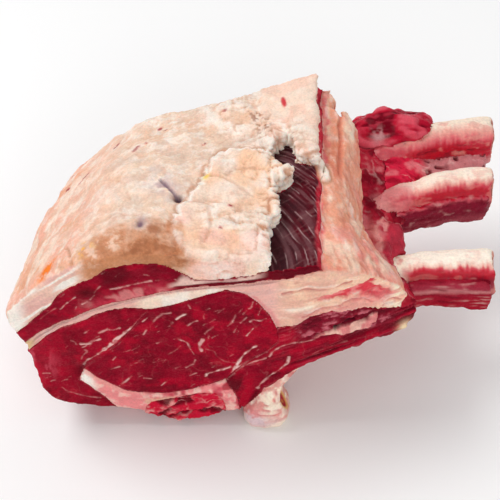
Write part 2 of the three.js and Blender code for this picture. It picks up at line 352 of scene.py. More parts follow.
def buried(skin, node):
    """Whether each vertex lies against another CAD node."""
    others = [o for name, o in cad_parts.items() if name != node]
    tree = tree_of(others)
    start = (skin.points + SHIFT) * MM
    covered = np.zeros(len(start), bool)
    for i, (point, normal) in enumerate(zip(start, skin.normals())):
        direction = Vector(normal)
        origin = Vector(point) - RAY_START * MM * direction
        covered[i] = tree.ray_cast(origin, direction, RAY_LENGTH * MM)[0] is not None
    return covered


def settle(skin, kind, rounding):
    """Smooths the facets away, keeping cut faces flat, layer borders where they are, and soft rims."""
    a, b = skin.edges.T
    rim = np.zeros(len(kind), bool)
    rim[a[kind[a] > kind[b]]] = True
    rim[b[kind[b] > kind[a]]] = True
    chain = rim[a] & rim[b] & (kind[a] == kind[b])
    ca, cb = a[chain], b[chain]
    links = np.maximum(1, np.bincount(ca, minlength=len(kind)) + np.bincount(cb, minlength=len(kind)))
    for _ in range(POLISH // 2):
        for axis in range(3):
            value = skin.points[:, axis]
            near = np.bincount(ca, value[cb], len(kind)) + np.bincount(cb, value[ca], len(kind))
            skin.points[:, axis] = np.where(rim, value + 0.5 * (near / links - value) * (links > 1), value)
    free = np.ones((len(kind), 3))
    free[rim] = 0
    free[kind == WALL] *= 0.3
    free[np.isin(kind, (FRONT, BACK)), 1] = 0
    free[kind == SOLE, 2] = 0
    skin.relax(POLISH, free)
    beside_wall = skin.blur((kind == WALL).astype(float), 2) > 0.03
    skin.relax(rounding, (skin.blur((kind == SKIN).astype(float), 2) > 0.05) & ~beside_wall)


def close_gaps(skin, kind):
    """Grows the hidden walls, so that neighbouring layers meet on the cut faces without the CAD's gap."""
    normals = skin.normals() * (kind == WALL)[:, None]
    outwards = skin.around(normals) * 0.5 + normals
    length = np.linalg.norm(outwards, axis=1, keepdims=True)
    outwards = outwards / np.maximum(length, 1e-6) * np.minimum(1, length * 4)
    on_cut = np.isin(kind, (FRONT, BACK))
    outwards[on_cut, 1] = 0
    skin.points = skin.points + HALF_GAP * outwards
    beside = skin.around(on_cut[:, None].astype(float))[:, 0]
    level = skin.around((on_cut * skin.points[:, 1])[:, None])[:, 0]
    lip = (kind == WALL) & (beside > 0)
    inwards = np.where(skin.points[:, 1] > 0, -1, 1)
    skin.points[lip, 1] = level[lip] / beside[lip] + 0.05 * inwards[lip]


def refine(skin, kind, chosen):
    """Cuts the faces whose corners are all chosen into four, and says the new vertices' kinds."""
    mesh = bmesh.new()
    mesh.from_mesh(skin.piece.data)
    layer = mesh.verts.layers.int.new("kind")
    for vertex, value in zip(mesh.verts, kind.tolist()):
        vertex[layer] = value
    mesh.verts.ensure_lookup_table()
    edges = [e for e in mesh.edges if chosen[e.verts[0].index] and chosen[e.verts[1].index]]
    bmesh.ops.subdivide_edges(mesh, edges=edges, cuts=1, use_grid_fill=True)
    kind = np.array([vertex[layer] for vertex in mesh.verts])
    mesh.verts.layers.int.remove(layer)
    mesh.to_mesh(skin.piece.data)
    mesh.free()
    skin.read()
    return kind


def thin_out(skin, kind, merged=0.8):
    """Merges faces deep in the hidden part of a piece, and says the remaining vertices' kinds."""
    deep = skin.blur((kind != WALL).astype(float), 4) < 0.005
    if deep.mean() < 0.05:
        return kind
    skin.write()
    piece = skin.piece
    group = piece.vertex_groups.new(name="hidden")
    group.add(np.nonzero(deep)[0].tolist(), 1, "REPLACE")
    apply(piece, "DECIMATE", vertex_group=group.name, ratio=1 - merged * deep.mean())
    piece.vertex_groups.clear()
    before = KDTree(len(kind))
    for i, point in enumerate(skin.points):
        before.insert(point, i)
    before.balance()
    skin.read()
    return kind[[before.find(point)[1] for point in skin.points]]


# ---- Colours ----

CREAM = linear("e6c7b0")
PALE_FAT = linear("f2d9c7")
WHITE_FAT = linear("f6ece2")
GREY_FAT = linear("ceb8ac")
PINK_FAT = linear("ecac96")
TAN_FAT = linear("e2a074")
BROWN_STAIN = linear("b6744e")
# Painted shade, for creases, hollows between lumps, the foot of a step and the ring round the hanging tag.
CREASE_SHADE = linear("c48e70")
LEAN = linear("8c0020")
LEAN_DARK = linear("540010")
LEAN_BRIGHT = linear("b80228")
LEAN_PINK = linear("ce4c5e")
SILVER = linear("dcaca4")
MARBLING = linear("d6807e")
DRIED = linear("4a1f26")
BONE = linear("fae6d0")


# ---- Marks on the front cut face ----
# Lines of fat in the lean: half a line's width, how strongly it shows, then u and w of its points in turn.

EYE_FLECKS = [
    (0.5, 0.8, -67, 105, -64, 108),
    (0.6, 0.9, -60, 105, -58, 108, -55, 111),
    (0.5, 0.6, -55, 112, -49, 113),
    (0.6, 1, -46, 107, -43, 110, -39, 112),
    (0.6, 1, -38, 120, -37, 117),
    (0.5, 0.8, -51, 100, -48, 104),
    (0.5, 0.7, -39, 101, -36, 104, -33, 106),
    (0.5, 0.6, -67, 93, -65, 97),
    (0.5, 0.6, -59, 84, -56, 86),
    (0.55, 0.75, -45, 88, -40, 85, -38, 79, -36, 74),
    (1.5, 0.7, -30, 88, -32, 82, -31, 77),
    (0.8, 0.6, -35, 68, -37, 64, -41, 61),
    (0.5, 0.6, -88, 68, -86, 71),
    (0.5, 0.7, -90, 59, -84, 62),
    (0.55, 0.8, -84, 44, -80, 48, -77, 52),
    (0.5, 0.6, -69, 50, -64, 50),
    (0.5, 0.7, -58, 43, -54, 48),
    (0.5, 0.6, -39, 52, -35, 55),
    (0.6, 0.8, -14, 101, -11, 105, -9, 111),
    (0.5, 0.7, -10, 95, -8, 101),
    (0.5, 0.7, -6, 104, -2, 109),
    (0.6, 0.9, -2, 92, 1, 97, 2, 99),
    (0.5, 0.8, 0, 105, 2, 107, 5, 106, 7, 106, 10, 108),
    (0.5, 0.8, 5, 111, 7, 117),
    (0.5, 0.6, 1, 119, 2, 123),
    (0.9, 0.95, 4, 82, 0, 78, -4, 73, -6, 69, -8, 64, -12, 56),
    (0.6, 0.9, 19, 80, 12, 74, 7, 72, -1, 66, -7, 62, -12, 56),
    (1, 0.9, -13, 61, -18, 59, -23, 57, -27, 55, -29, 52),
    (0.4, 0.35, -28, 79, -23, 77, -21, 72, -16, 67, -9, 65),
    (1.1, 0.75, 10, 117, 14, 109, 17, 101, 19, 94, 20, 88),
    (0.4, 0.5, -20, 113, -16, 117),
    (0.4, 0.5, -27, 96, -23, 100),
    (0.4, 0.45, -52, 74, -47, 78, -44, 82),
    (0.4, 0.5, -75, 78, -70, 82),
    (0.4, 0.4, -62, 66, -55, 68),
    (0.4, 0.45, -77, 63, -72, 66, -68, 66),
    (0.4, 0.5, -48, 60, -44, 63),
    (0.4, 0.45, -25, 104, -22, 107),
]
SIDE_LINES = [
    (0.6, 0.7, -104, 94, -101, 97),
    (0.9, 0.6, -95, 94, -90, 97, -86, 97, -82, 99),
    (0.9, 0.8, -107, 84, -102, 84, -99, 86, -95, 88),
    (0.5, 0.7, -104, 83, -98, 88),
    (0.6, 0.6, -113, 87, -111, 86, -110, 83),
    (0.6, 0.8, -105, 78, -104, 76, -107, 72, -108, 69),
    (0.8, 0.5, -134, 55, -130, 55),
    (0.6, 0.5, -123, 41, -120, 37, -113, 33, -107, 31, -99, 30),
    (1.6, 0.9, -74, 100, -77, 96, -83, 90, -87, 84, -93, 78),
    (0.7, 0.6, -62, 112, -67, 108, -74, 100),
    (0.9, 0.75, -93, 78, -99, 72, -105, 67, -107, 62),
]
CAP_LINES = [
    (0.7, 0.9, -117, 116, -114, 120, -112, 122),
    (0.5, 0.9, -111, 123, -107, 127),
    (0.6, 0.8, -103, 121, -100, 123),
    (0.5, 0.7, -98, 125, -95, 129),
    (0.5, 0.6, -95, 131, -91, 137),
    (0.7, 0.7, -85, 134, -80, 135, -72, 138, -68, 139, -60, 141),
    (0.6, 0.5, -64, 147, -61, 146),
    (0.7, 0.8, -45, 143, -42, 141),
    (0.5, 0.4, -130, 108, -124, 114, -120, 117),
]
SEAM_CENTRE = [
    (-142, 80), (-135, 90), (-122, 101), (-105, 112), (-89, 119), (-74, 125),
    (-61, 129), (-45, 133), (-25, 136), (0, 139), (24, 143), (44, 147),
]


def inside(x, y, outline):
    """How far each point lies inside a smooth closed outline. Outside it, the distance is negative."""
    line = spline([*outline, outline[0]], 1.5)
    odd = np.zeros(len(x), bool)
    for (ax, ay), (bx, by) in zip(line, line[1:]):
        if ay != by:
            odd ^= ((ay > y) != (by > y)) & (x < ax + (y - ay) / (by - ay) * (bx - ax))
    return distance_to(np.stack([x, y], 1), line[:-1]) * np.where(odd, 1, -1)


def gap_to(x, y, line, step=1):
    """Each point's distance to an open line drawn smoothly through a few points of the plane."""
    return distance_to(np.stack([x, y], 1), spline(line, step))


def smudge(points, middle, direction, half_length, half_width):
    """1 at the middle of a long soft spot, and 0 away from it."""
    direction = np.array(direction, float) / np.linalg.norm(direction)
    offset = points - middle
    along = offset @ direction
    across = np.linalg.norm(offset - along[:, None] * direction, axis=1)
    return np.exp(-(along / half_length) ** 2 - (across / half_width) ** 2)


def lines_over(u, w, lines, front):
    """How much each point is covered by the lines of fat on the front face."""
    places = np.stack([u, w], 1)
    wobble = 0.5 * noise(at(u, w, 0), 3, 51)
    cover = np.zeros(len(u))
    for half, strength, *route in lines:
        line = spline(np.reshape(route, (-1, 2)), 0.7)
        near = (np.abs(u - line[:, 0].mean()) < 40) & (np.abs(w - line[:, 1].mean()) < 40)
        if not near.any():
            continue
        gap = np.full(len(u), 10.0)
        gap[near] = distance_to(places[near], line)
        gap += wobble * min(1, half) * 1.3
        cover = np.maximum(cover, strength * smooth(0.75 * half + 0.4, 0.75 * half - 0.4, gap))
    broken = 0.45 + 0.55 * smooth(-0.5, 0.1, noise(at(u, w, 0), 2.2, 53))
    return cover * front * broken


def veins(points, size, width, seed, stretch=(1, 1, 1)):
    """Thin branching lines where smooth noise crosses zero: 1 on a line, and 0 away from it."""
    value = np.abs(noise(points, size, seed, stretch) + 0.25 * noise(points, size / 3, seed + 1, stretch))
    broken = smooth(-0.05, 0.25, noise(points, size * 1.3, seed + 2))
    return smooth(width, 0, value) * broken


# ---- The pieces' relief and colour ----

class Look:
    """What a dressing function works on: the skin, where its points are in the roast, and its colours."""

    def __init__(self, skin, kind):
        self.skin = skin
        self.kind = kind
        self.points = skin.points.copy()
        self.x, self.y, self.z = self.points.T
        self.u, self.w, self.t = layer_places(self.points)
        self.normals = skin.open_normals(kind == WALL)
        self.open = (kind != WALL).astype(float)
        self.front = skin.blur((kind == FRONT).astype(float), 1)
        self.back = skin.blur((kind == BACK).astype(float), 1)
        self.cut = np.maximum(self.front, self.back)
        self.border = skin.blur((kind == WALL).astype(float), 3)
        self.lift = np.zeros(len(kind))
        self.tone = np.zeros((len(kind), 3))
        self.wet = np.full(len(kind), 0.5)

    def finish(self):
        border = self.skin.blur((self.kind == WALL).astype(float), 2)
        flush = np.where(self.cut > 0.5, smooth(0.35, 0, border), 1)
        self.skin.points = self.points + self.normals * (self.lift * self.open * flush)[:, None]
        self.skin.points[:, 2] = np.maximum(self.skin.points[:, 2], 0)
        self.skin.write()
        self.skin.store("tone", self.tone)
        self.skin.store("wet", np.clip(self.wet, 0, 1))

    def paint(self, colour, amount, *ramp):
        """Lays a colour over part of the tone: amount, times smooth(*ramp) if there is a ramp."""
        if isinstance(colour, str):
            colour = linear(colour)
        if ramp:
            amount = amount * smooth(*ramp)
        self.tone += np.clip(amount, 0, 1)[:, None] * (colour - self.tone)

    def mottle(self, colour, amount, low, high, *grain, **more):
        """Lays a colour over soft random patches, where fractal noise rises from low to high."""
        self.paint(colour, amount, low, high, fractal(self.points, *grain, **more))


def strokes(count, box, slope, seed):
    """Short thin lines of fat at random places in a box of the outline, rising at about the given angle."""
    draw = np.random.default_rng(seed)
    lines = []
    for _ in range(count):
        middle = np.array([draw.uniform(box[0], box[1]), draw.uniform(box[2], box[3])])
        angle = slope + draw.normal(0, 0.35)
        half = draw.uniform(0.8, 2.4) * np.array([math.cos(angle), math.sin(angle)])
        bend = draw.uniform(-0.5, 0.5, 2)
        width, strength = draw.uniform(0.2, 0.42), draw.uniform(0.35, 0.8)
        lines.append((width, strength, *(middle - half), *(middle + bend), *(middle + half)))
    return lines


EYE_FLECKS += strokes(60, (-105, 18, 40, 130), 0.75, 1)
SIDE_LINES += strokes(26, (-134, -70, 26, 110), 0.6, 2)
CAP_LINES += strokes(24, (-138, -50, 100, 150), 0.7, 3)
BACK_LINES = strokes(110, (-140, 100, 20, 140), 0.8, 4)


def cut_lean(look, lines, base=LEAN, veined=0.4):
    """Lean meat cut across: dark red, with fine grain, soft patches and lines of fat."""
    p, paint, mottle = look.points, look.paint, look.mottle
    look.tone[:] = base
    mottle(LEAN_DARK, 0.42, -0.1, 0.8, 16, 61, 4, fall=0.65)
    mottle(LEAN_BRIGHT, 0.55, 0, 0.9, 11, 64, 4, fall=0.65)
    bundles = smooth(0.09, 0, np.abs(fractal(p, 3.4, 67, 2, (1.3, 1, 0.8))))
    mottle(LEAN_PINK, 0.16 * bundles, -0.2, 0.5, 9, 69, 1)
    fibres = noise(at(look.x * 0.35 + look.z * 0.25, look.y, look.z - 0.5 * look.x), 1.3, 59)
    mottle(LEAN_PINK, 0.12 * smooth(0.25, 0.8, fibres), -0.3, 0.4, 8, 58, 1)
    paint(LEAN_DARK, 0.3, 0.25, 0.8, -fibres)
    rim = smooth(0.03, 0.3, look.border) * look.cut * patches(p, -0.45, 0.45, 5.5, 76, 1)
    paint("ce7076", 0.42 * rim)
    drawn = lines_over(look.u, look.w, lines, look.front)
    drawn += lines_over(look.u, look.w, BACK_LINES, look.back)
    wild = veins(p, 12, 0.05, 70) * (veined * (look.back + 0.25 * look.front) + 0.3 * (1 - look.cut))
    cover = np.maximum(drawn, wild)
    paint(MARBLING, cover)
    paint(WHITE_FAT, 0.6 * cover ** 2)
    look.lift += 0.25 * cover + 0.2 * fractal(p, 4.5, 72) + 0.45 * noise(p, 18, 75)
    look.wet[:] = 0.75 - 0.2 * cover


def dress_eye(look):
    cut_lean(look, EYE_FLECKS)


def dress_side(look):
    p, paint = look.points, look.paint
    u, w, front = look.u, look.w, look.front
    cut_lean(look, SIDE_LINES, 0.75 * LEAN + 0.25 * LEAN_BRIGHT)
    outer = smooth(-114, -134, u + 0.2 * (w - 60)) * front * smooth(42, 62, w)
    film = patches(p, -0.1, 0.6, 4.5, 81, 4, (1, 1, 2.6), 0.6)
    paint(LEAN_PINK, outer * (0.05 + 0.6 * film))
    rim = smooth(-132, -138, u) * front * smooth(76, 60, w)
    paint("c81434", 0.7 * rim)
    pit = np.exp(-((u + 105) ** 2 / 160 + (w - 57) ** 2 / 70)) * front
    paint(LEAN_DARK, 0.9 * pit)
    look.lift -= 1.2 * pit
    look.mottle(LEAN_DARK, 0.4 * front * smooth(58, 36, w), -0.6, 0.4, 14, 83, 1)
    skin_side = (1 - look.cut) * (look.kind != WALL)
    streak = fractal(p, 9, 84, stretch=(1, 6, 1))
    strands = noise(at(look.x, look.y * 0.08, look.z + look.x * 0.4), 2.6, 85)
    paint("b23c4a", skin_side * 0.6, -0.4, 0.9, streak + 0.4 * strands)
    paint(SILVER, skin_side * 0.42, 0.2, 1.3, streak + 0.8 * strands)
    paint(LEAN_DARK, skin_side * 0.5, 0.1, 0.8, -streak)
    look.lift += skin_side * (0.9 * fractal(p, 10, 86, stretch=(1, 2.5, 1)) + 0.25 * strands)


TAG = spline([(42, 4, 162), (44.5, 5, 157), (46.5, 4, 153), (47.5, 0, 152), (48, -6, 151)], 0.7)


def hang_tag(look):
    """The loose tag of fat that hangs from the cap's torn edge over the layers below, with painted shade
    round it.
    """
    gap = distance_to(look.points, TAG) + 0.5 * noise(look.points, 4, 77)
    tag = smooth(4, 2.4, gap) * (1 - look.cut)
    # Painted shade in a ring round the tag, where it stands off the surface below.
    look.paint(CREASE_SHADE, 0.8 * (1 - look.cut), 5.6, 4.2, gap)
    look.paint(0.5 * (WHITE_FAT + PALE_FAT), tag)
    look.lift += 2.4 * tag


def dried_top(look):
    """Where the cap is torn away, the muscle has dried dark, with silvery fibres and lines across it."""
    p, paint = look.points, look.paint
    x, y = look.x, look.y
    top = smooth(0.4, 0.8, look.normals[:, 2]) * (look.kind == SKIN) * (x < 44)
    across = x * 0.86 + (y + 40) * 0.5 + 0.004 * (y + 40) ** 2
    along = y * 0.86 - x * 0.5
    fibres = noise(at(across, along * 0.07, 0), 1.3, 94)
    hatch = noise(at(across * 0.2, along, 0), 1.4, 95)
    paint(DRIED, top)
    fresh = smooth(20, 36, x + 8 * fractal(p, 14, 96)) * smooth(8, -14, y)
    paint("580416", 0.85 * top * fresh)
    paint("7c565a", top * 0.42, 0, 0.7, fibres)
    paint("280a12", top * 0.5, 0.1, 0.7, -fibres)
    paint("8a6060", top * 0.25, 0.2, 0.7, hatch)
    spacing = 5.2
    place = (across + 1.4 * noise(p, 16, 92)) / spacing
    nearest = np.abs(place - np.round(place)) * spacing
    white_lines = smooth(0.42, 0.1, nearest) * patches(p, -0.3, 0.4, 7, 97, 1)
    paint("b69696", top * 0.7 * white_lines)
    look.lift += top * (0.25 * fibres + 0.6 * noise(p, 14, 98) + 0.2 * white_lines)
    look.wet[:] = np.where(top > 0.5, 0.35, look.wet)


def torn_line(look):
    """The fresh red edge of the muscle, between the cap and the folded side."""
    side = smooth(37, 42, look.x) * smooth(0.3, 0.8, look.normals[:, 0]) * (look.kind == SKIN)
    look.paint("c6283c", side)
    look.mottle("880820", 0.7 * side, 0, 0.7, 6, 78)
    look.mottle("e48080", 0.6 * side, 0.1, 0.8, 4, 79)


def dress_cap_muscle(look):
    p, paint, mottle = look.points, look.paint, look.mottle
    u, w, front = look.u, look.w, look.front
    cut_lean(look, CAP_LINES)
    below = gap_to(u, w, SEAM_CENTRE, 2)
    flame = noise(at(u + 0.4 * w, w * 0.35, look.t), 2.1, 90)
    flame = 0.6 * flame + 0.5 * fractal(p, 4.5, 89, stretch=(1.6, 1, 1))
    low = smooth(14, 5, below + 5 * flame) * smooth(-112, -88, u) * smooth(-42, -54, u)
    paint("c83a4e", front * low * (0.2 + 0.5 * smooth(-0.4, 0.4, flame)))
    pale = smooth(8.5, 4, below + 4 * flame) * patches(p, -0.5, 0.2, 8, 86, 1)
    paint("e49692", front * 0.55 * low * pale)
    high = smooth(10, 20, below) * smooth(-30, -70, u)
    mottle(LEAN_DARK, front * 0.75 * high, -0.5, 0.5, 14, 93, 1)
    paint("3a040c", front * 0.8 * np.exp(-((u + 100) / 9) ** 2 - ((w - 131) / 5) ** 2))
    dark_line = smooth(-50, -38, u) * front
    paint(LEAN_DARK, 0.8 * dark_line)
    fatty = smooth(-47, -39, u - 0.8 * (w - 142) + 2 * noise(p, 4, 85)) * smooth(12, 0, u) * front
    above_line = smooth(3, 4.2, below + 0.8 * noise(p, 6, 88) - 0.6 * smooth(-30, 10, u))
    paint("e4bcb0", fatty * above_line)
    mottle("c89692", fatty * above_line, 0.1, 0.6, 3, 87, 1, (4, 1, 1))
    dried_top(look)
    torn_line(look)
    hang_tag(look)


# Outlines of the fat cap's layers and marks, in plan.
UPPER_LAYER = [
    (-37, -100), (-40, -86), (-44, -76), (-47, -58), (-34, -30), (-28, -14),
    (-22, 3), (-9, 10), (8, 8), (30, 0), (60, 0), (60, -100),
]
BACK_FLAP = [(9, 100), (7, 60), (8, 40), (10, 24), (14, 12), (24, 5), (60, 5), (60, 100)]
STAIN = [
    (-104, -100), (-98, -82), (-88, -68), (-77, -64), (-66, -70),
    (-56, -66), (-49, -68), (-44, -80), (-38, -100),
]
TORN_EDGE = [
    (12, -95), (12, -52), (19, -44), (14, -22), (28, -15), (26, -9),
    (17, -2), (12, 12), (23, 26), (29, 18), (29, 4), (41, 1),
]
HOLE_GROOVE = [(-56, -22), (-51, -29), (-45, -38)]
BLOOD_SPOTS = [  # the middle of each in plan, half its length, and how dark it is
    ((-119, 31), 4, 0.8),
    ((-121, 17), 3, 0.9),
    ((-109, 9), 6.5, 0.9),
    ((-121, 12), 2.5, 1),
    ((-74, 17), 6, 0.6),
    ((-69, 22), 2.5, 0.9),
    ((-60, 44), 2.2, 0.8),
    ((-56, 41), 1.5, 0.7),
    ((-90, 42), 4.5, 0.7),
    ((-30, 19), 3, 0.8),
    ((-17, 52), 3, 0.5),
    ((-12, -46), 1.4, 0.9),
    ((-18, -66), 1.4, 0.7),
]
CREASES = [  # grooves in the fat cap in plan, with their depth
    ([(-111, -70), (-109, -76), (-106, -90)], 1.6),
    ([(-11, -85), (1, -85)], 0.9),
    ([(-97, -60), (-84, -52), (-66, -55)], 0.7),
    ([(-6, 20), (6, 26), (14, 44)], 0.8),
    ([(-30, -16), (-14, -22), (0, -34)], 0.8),
    ([(-27, -40), (-14, -44), (2, -42)], 0.8),
    ([(-26, -48), (-24, -62), (-27, -78)], 0.9),
    ([(-22, -56), (-8, -60), (6, -58)], 0.6),
    ([(-38, -44), (-30, -42), (-22, -48)], 0.8),
    ([(-92, -12), (-80, -22), (-74, -40)], 0.5),
]


def cap_base(look, up):
    """The cap's fat: cream and mottled, and pink and streaky towards its tip."""
    p, paint, mottle = look.points, look.paint, look.mottle
    x, y, z = p.T
    left = smooth(-72, -125, x)
    streaks = fractal(at(x * 0.9 - y * 0.35, y * 0.22 + x * 0.1, z * 0.6), 5, 110)
    fibrous = fractal(at(x * 0.8 - y * 0.5, y * 0.5 + x * 0.1, z), 3.4, 113, 4, fall=0.7)
    look.lift += 1.3 * fractal(p, 42, 105, 2) + 0.6 * fractal(p, 13, 106)
    look.lift += (0.5 * left + 0.15) * streaks + 0.3 * fibrous * up
    look.tone[:] = CREAM
    mottle(PALE_FAT, 0.85, -0.1, 0.7, 24, 120)
    mottle(GREY_FAT, 0.4 * (1 - left), 0.1, 0.8, 15, 122)
    mottle(TAN_FAT, 0.32, 0.05, 0.8, 28, 124)
    mottle(WHITE_FAT, 0.5 * smooth(-110, -60, x), 0.2, 0.7, 6, 127)
    paint(PINK_FAT, left * (0.45 + 0.45 * smooth(-0.2, 0.5, streaks)))
    mottle(TAN_FAT, left * 0.45, 0, 0.6, 14, 126, 2)
    paint(PALE_FAT, left * 0.7, 0.1, 0.6, -streaks)
    paint(WHITE_FAT, 0.4, 0.15, 0.9, fibrous)
    paint("d0a08a", 0.22, 0.3, 1.1, -fibrous)


def torn_layers(look, up):
    """The cap's upper layer and the flap at its back, with crumbly rims where they are torn, and painted
    shade and highlight on their lumps.
    """
    p, paint, mottle = look.points, look.paint, look.mottle
    x, y = look.x, look.y
    right = smooth(-62, -10, x)
    ragged = 3 * (billow(p, 9, 101) - 0.5) + noise(p, 3, 102)
    upper = inside(x, y, UPPER_LAYER) + ragged
    flap = inside(x, y, BACK_FLAP) + 0.5 * ragged
    rim = smooth(15, 1, gap_to(x, y, TORN_EDGE, 1.5))
    crumbly = right * (1 - smooth(0, 4, flap)) * (0.45 + 0.55 * patches(p, -0.2, 0.4, 22, 108, 1))
    lumps = 0.62 * billow(p, 8, 103) + 0.38 * billow(p, 3.4, 104)
    wall = (look.kind == SKIN) * smooth(0.75, 0.3, look.normals[:, 2]) * smooth(0, 12, x)
    look.lift += (1.5 * crumbly + 2.2 * rim) * (lumps - 0.55) + 2.4 * wall * (lumps - 0.5)
    look.lift += (0.14 + 0.16 * right) * fractal(p, 2.4, 112, 2)
    look.lift += 2.6 * smooth(-0.4, 1.8, upper) * up + 1.6 * smooth(-1, 3, flap) * up
    on_top = smooth(0, 2, upper)
    on_flap = smooth(0, 3, flap)
    paint(PALE_FAT, 0.6 * on_top)
    mottle("f0be98", 0.75 * on_top, -0.2, 0.5, 19, 129, 2)
    mottle("f0bcb0", 0.6 * on_top * smooth(-46, -62, y), 0, 0.5, 16, 131, 1)
    paint(PALE_FAT, 0.7 * on_flap)
    mottle("f2baa4", 0.4 * on_flap, 0.1, 0.6, 13, 134, 1)
    whiteness = np.maximum(0.85 * rim, 0.7 * crumbly * patches(p, 0, 0.5, 12, 136, 1))
    # White on the lumps' peaks is partly the fat's own colour and partly painted highlight; the crease
    # colour below is painted shade in the hollows between the lumps.
    paint(WHITE_FAT, whiteness, 0.3, 0.75, lumps)
    paint(CREASE_SHADE, 0.55 * crumbly + 0.6 * rim, 0.42, 0.12, lumps)
    paint(WHITE_FAT, 0.9 * up, 3.2, 0.4, np.abs(upper - 1))
    # Painted shadow along the foot of the upper layer's step.
    paint(CREASE_SHADE, 0.75 * up, 2.2, 0.2, np.abs(upper + 1.4))


def brown_stain(look):
    """The brown stain over the cut face, and the brown rim of the face below it."""
    p, paint, x = look.points, look.paint, look.x
    stained = smooth(-10, 8, inside(x, look.y, STAIN) + 5 * noise(p, 14, 130) + 5 * fractal(p, 6, 132))
    mottled = fractal(p, 7, 131, 5, fall=0.72)
    paint(TAN_FAT, 0.7 * stained)
    paint(BROWN_STAIN, stained * (0.42 + 0.42 * smooth(-0.9, 0.9, mottled) + 0.25 * smooth(-84, -58, x)))
    paint("965c3e", 0.6 * stained * smooth(-92, -66, x), 0.3, 1.1, mottled)
    paint(PALE_FAT, 0.55 * stained * smooth(-66, -88, x), 0.2, 0.9, -mottled)
    edge = look.front * smooth(-112, -92, x + 4 * noise(p, 5, 118)) * smooth(-44, -52, x)
    paint("c4845c", 0.85 * edge * (0.6 + 0.4 * patches(p, -0.4, 0.4, 5, 117)))


def grey_patches_hollows_and_crease_shade(look, up):
    """Greyed patches, the small deep hole with the groove that leads to it, a dent, and creases with
    painted shade.
    """
    p, paint, mottle = look.points, look.paint, look.mottle
    x, y = look.x, look.y
    mottle("c6aa9e", 0.6 * smudge(p, (-66, 0, 160), (1, 0.3, 0.1), 26, 22), -0.5, 0.4, 12, 119)
    grey = smudge(p, (-54, -28, 164), (1, -1.4, 0), 14, 7)
    grey = np.maximum(grey, smudge(p, (-67, -61, 164), (0, 1, 0), 5, 5))
    mottle("b2969a", 0.85 * grey, -0.7, 0.1, 5, 133, 2)
    hole = np.hypot(x + 44.4, y + 39.7)
    dent = np.hypot(x + 66.6, (y + 62.7) * 0.7)
    groove = up * smooth(1.7, 0.3, gap_to(x, y, HOLE_GROOVE) + 0.5 * noise(p, 3, 115))
    paint("4a142c", 1.4 * np.exp(-(hole / 2.5) ** 2))
    paint("846470", 1.2 * np.exp(-(dent / 2.2) ** 2))
    paint("705468", 0.75 * groove)
    look.lift -= up * (6 * np.exp(-(hole / 2.3) ** 2) + 2.4 * np.exp(-(dent / 2.6) ** 2)) + 1.6 * groove
    for line, depth in CREASES:
        gap = gap_to(x, y, line) + 0.6 * noise(p, 4, 114)
        # Painted shade in each crease, darker the deeper the crease.
        paint(CREASE_SHADE, 0.5 * depth, 1.6, 0.2, gap)
        look.lift -= depth * up * smooth(1.8, 0.2, gap)


def small_marks(look, up):
    """Blood spots, the smear of orange ink, yellow and brown specks, and the red mark on the flap."""
    p, paint, mottle = look.points, look.paint, look.mottle
    plan = p * (1, 1, 0)
    for middle, half, dark in BLOOD_SPOTS:
        spot = smudge(plan, (*middle, 0), (0.45, 1, 0), half, 1.5) * up * patches(p, -0.7, 0.1, 2.6, 138, 1)
        paint("ce6860", 0.7 * dark, 0.1, 0.5, spot)
        paint("921e2c", dark, 0.3, 0.75, spot)
    mottle("ec7a22", 1.5 * smudge(p, (-123, -80, 142), (14, 13, 10), 9.5, 3.3), -0.9, 0, 2.2, 140, 2)
    mottle("f4b650", smudge(p, (-99, -78, 157), (1, 0.2, 0), 6, 5), 0.25, 0.5, 2.5, 142, 1)
    paint("eccc60", 1.2 * smudge(plan, (-27.7, -18.8, 0), (0.5, 1, 0), 3, 1.5))
    mottle("96542c", 0.9 * smudge(plan, (7, 36, 0), (-0.4, 1, 0), 19, 6), 0.25, 0.5, 1.9, 144, 1)
    paint("ce3e46", 1, 0.2, 0.7, smudge(plan, (22.6, 54.5, 0), (-0.1, 1, 0), 6, 1.8))


def cap_face(look):
    """The cap's tip where the front cut goes through it, with its thin layers."""
    p, paint, u, w = look.points, look.paint, look.u, look.w
    face = look.front * smooth(-98, -110, look.x + 3 * noise(p, 6, 139))
    layers = noise(at((u + 153) * 0.63 - (w - 112) * 0.77, (u + w) * 0.05, look.t), 2.2, 146)
    paint("eec4b2", face)
    paint("deaaa2", face * 0.8, 0, 0.5, layers)
    paint(WHITE_FAT, face, 0.1, 0.5, -layers)
    paint(WHITE_FAT, face, -136, -146, u)


def dress_fat_cap(look):
    up = smooth(0.1, 0.7, look.normals[:, 2])
    cap_base(look, up)
    torn_layers(look, up)
    brown_stain(look)
    grey_patches_hollows_and_crease_shade(look, up)
    small_marks(look, up)
    cap_face(look)
    look.wet[:] = 0.32 + 0.12 * noise(look.points, 9, 135)


RED_TEAR = [
    (40, 121.5), (52, 124), (62, 127.5), (72, 132), (77, 129), (82, 122),
    (88, 114), (80, 114), (72, 119), (62, 121), (52, 121),
]
FACE_CREASES = [
    [(33, 108), (40, 112), (47, 114.5), (56, 114)],
    [(56, 114), (62, 117), (70, 116), (76, 112)],
    [(44, 110), (52, 111), (60, 112.5)],
    [(20, 129), (34, 131), (50, 131), (62, 134)],
    [(84, 108), (90, 109), (95, 106)],
    [(84, 105), (91, 106)],
]


def above_seam(u, w):
    """How far each point lies above the seam's middle line. Below the line, the distance is negative."""
    line = spline(SEAM_CENTRE, 1.5)
    nearest = np.full(len(u), 99.0)
    side = np.ones(len(u))
    for (ax, ay), (bx, by) in zip(line, line[1:]):
        gap = np.hypot(u - ax, w - ay)
        turn = (bx - ax) * (w - ay) - (by - ay) * (u - ax)
        side = np.where(gap < nearest, np.sign(turn), side)
        nearest = np.minimum(nearest, gap)
    return nearest * side


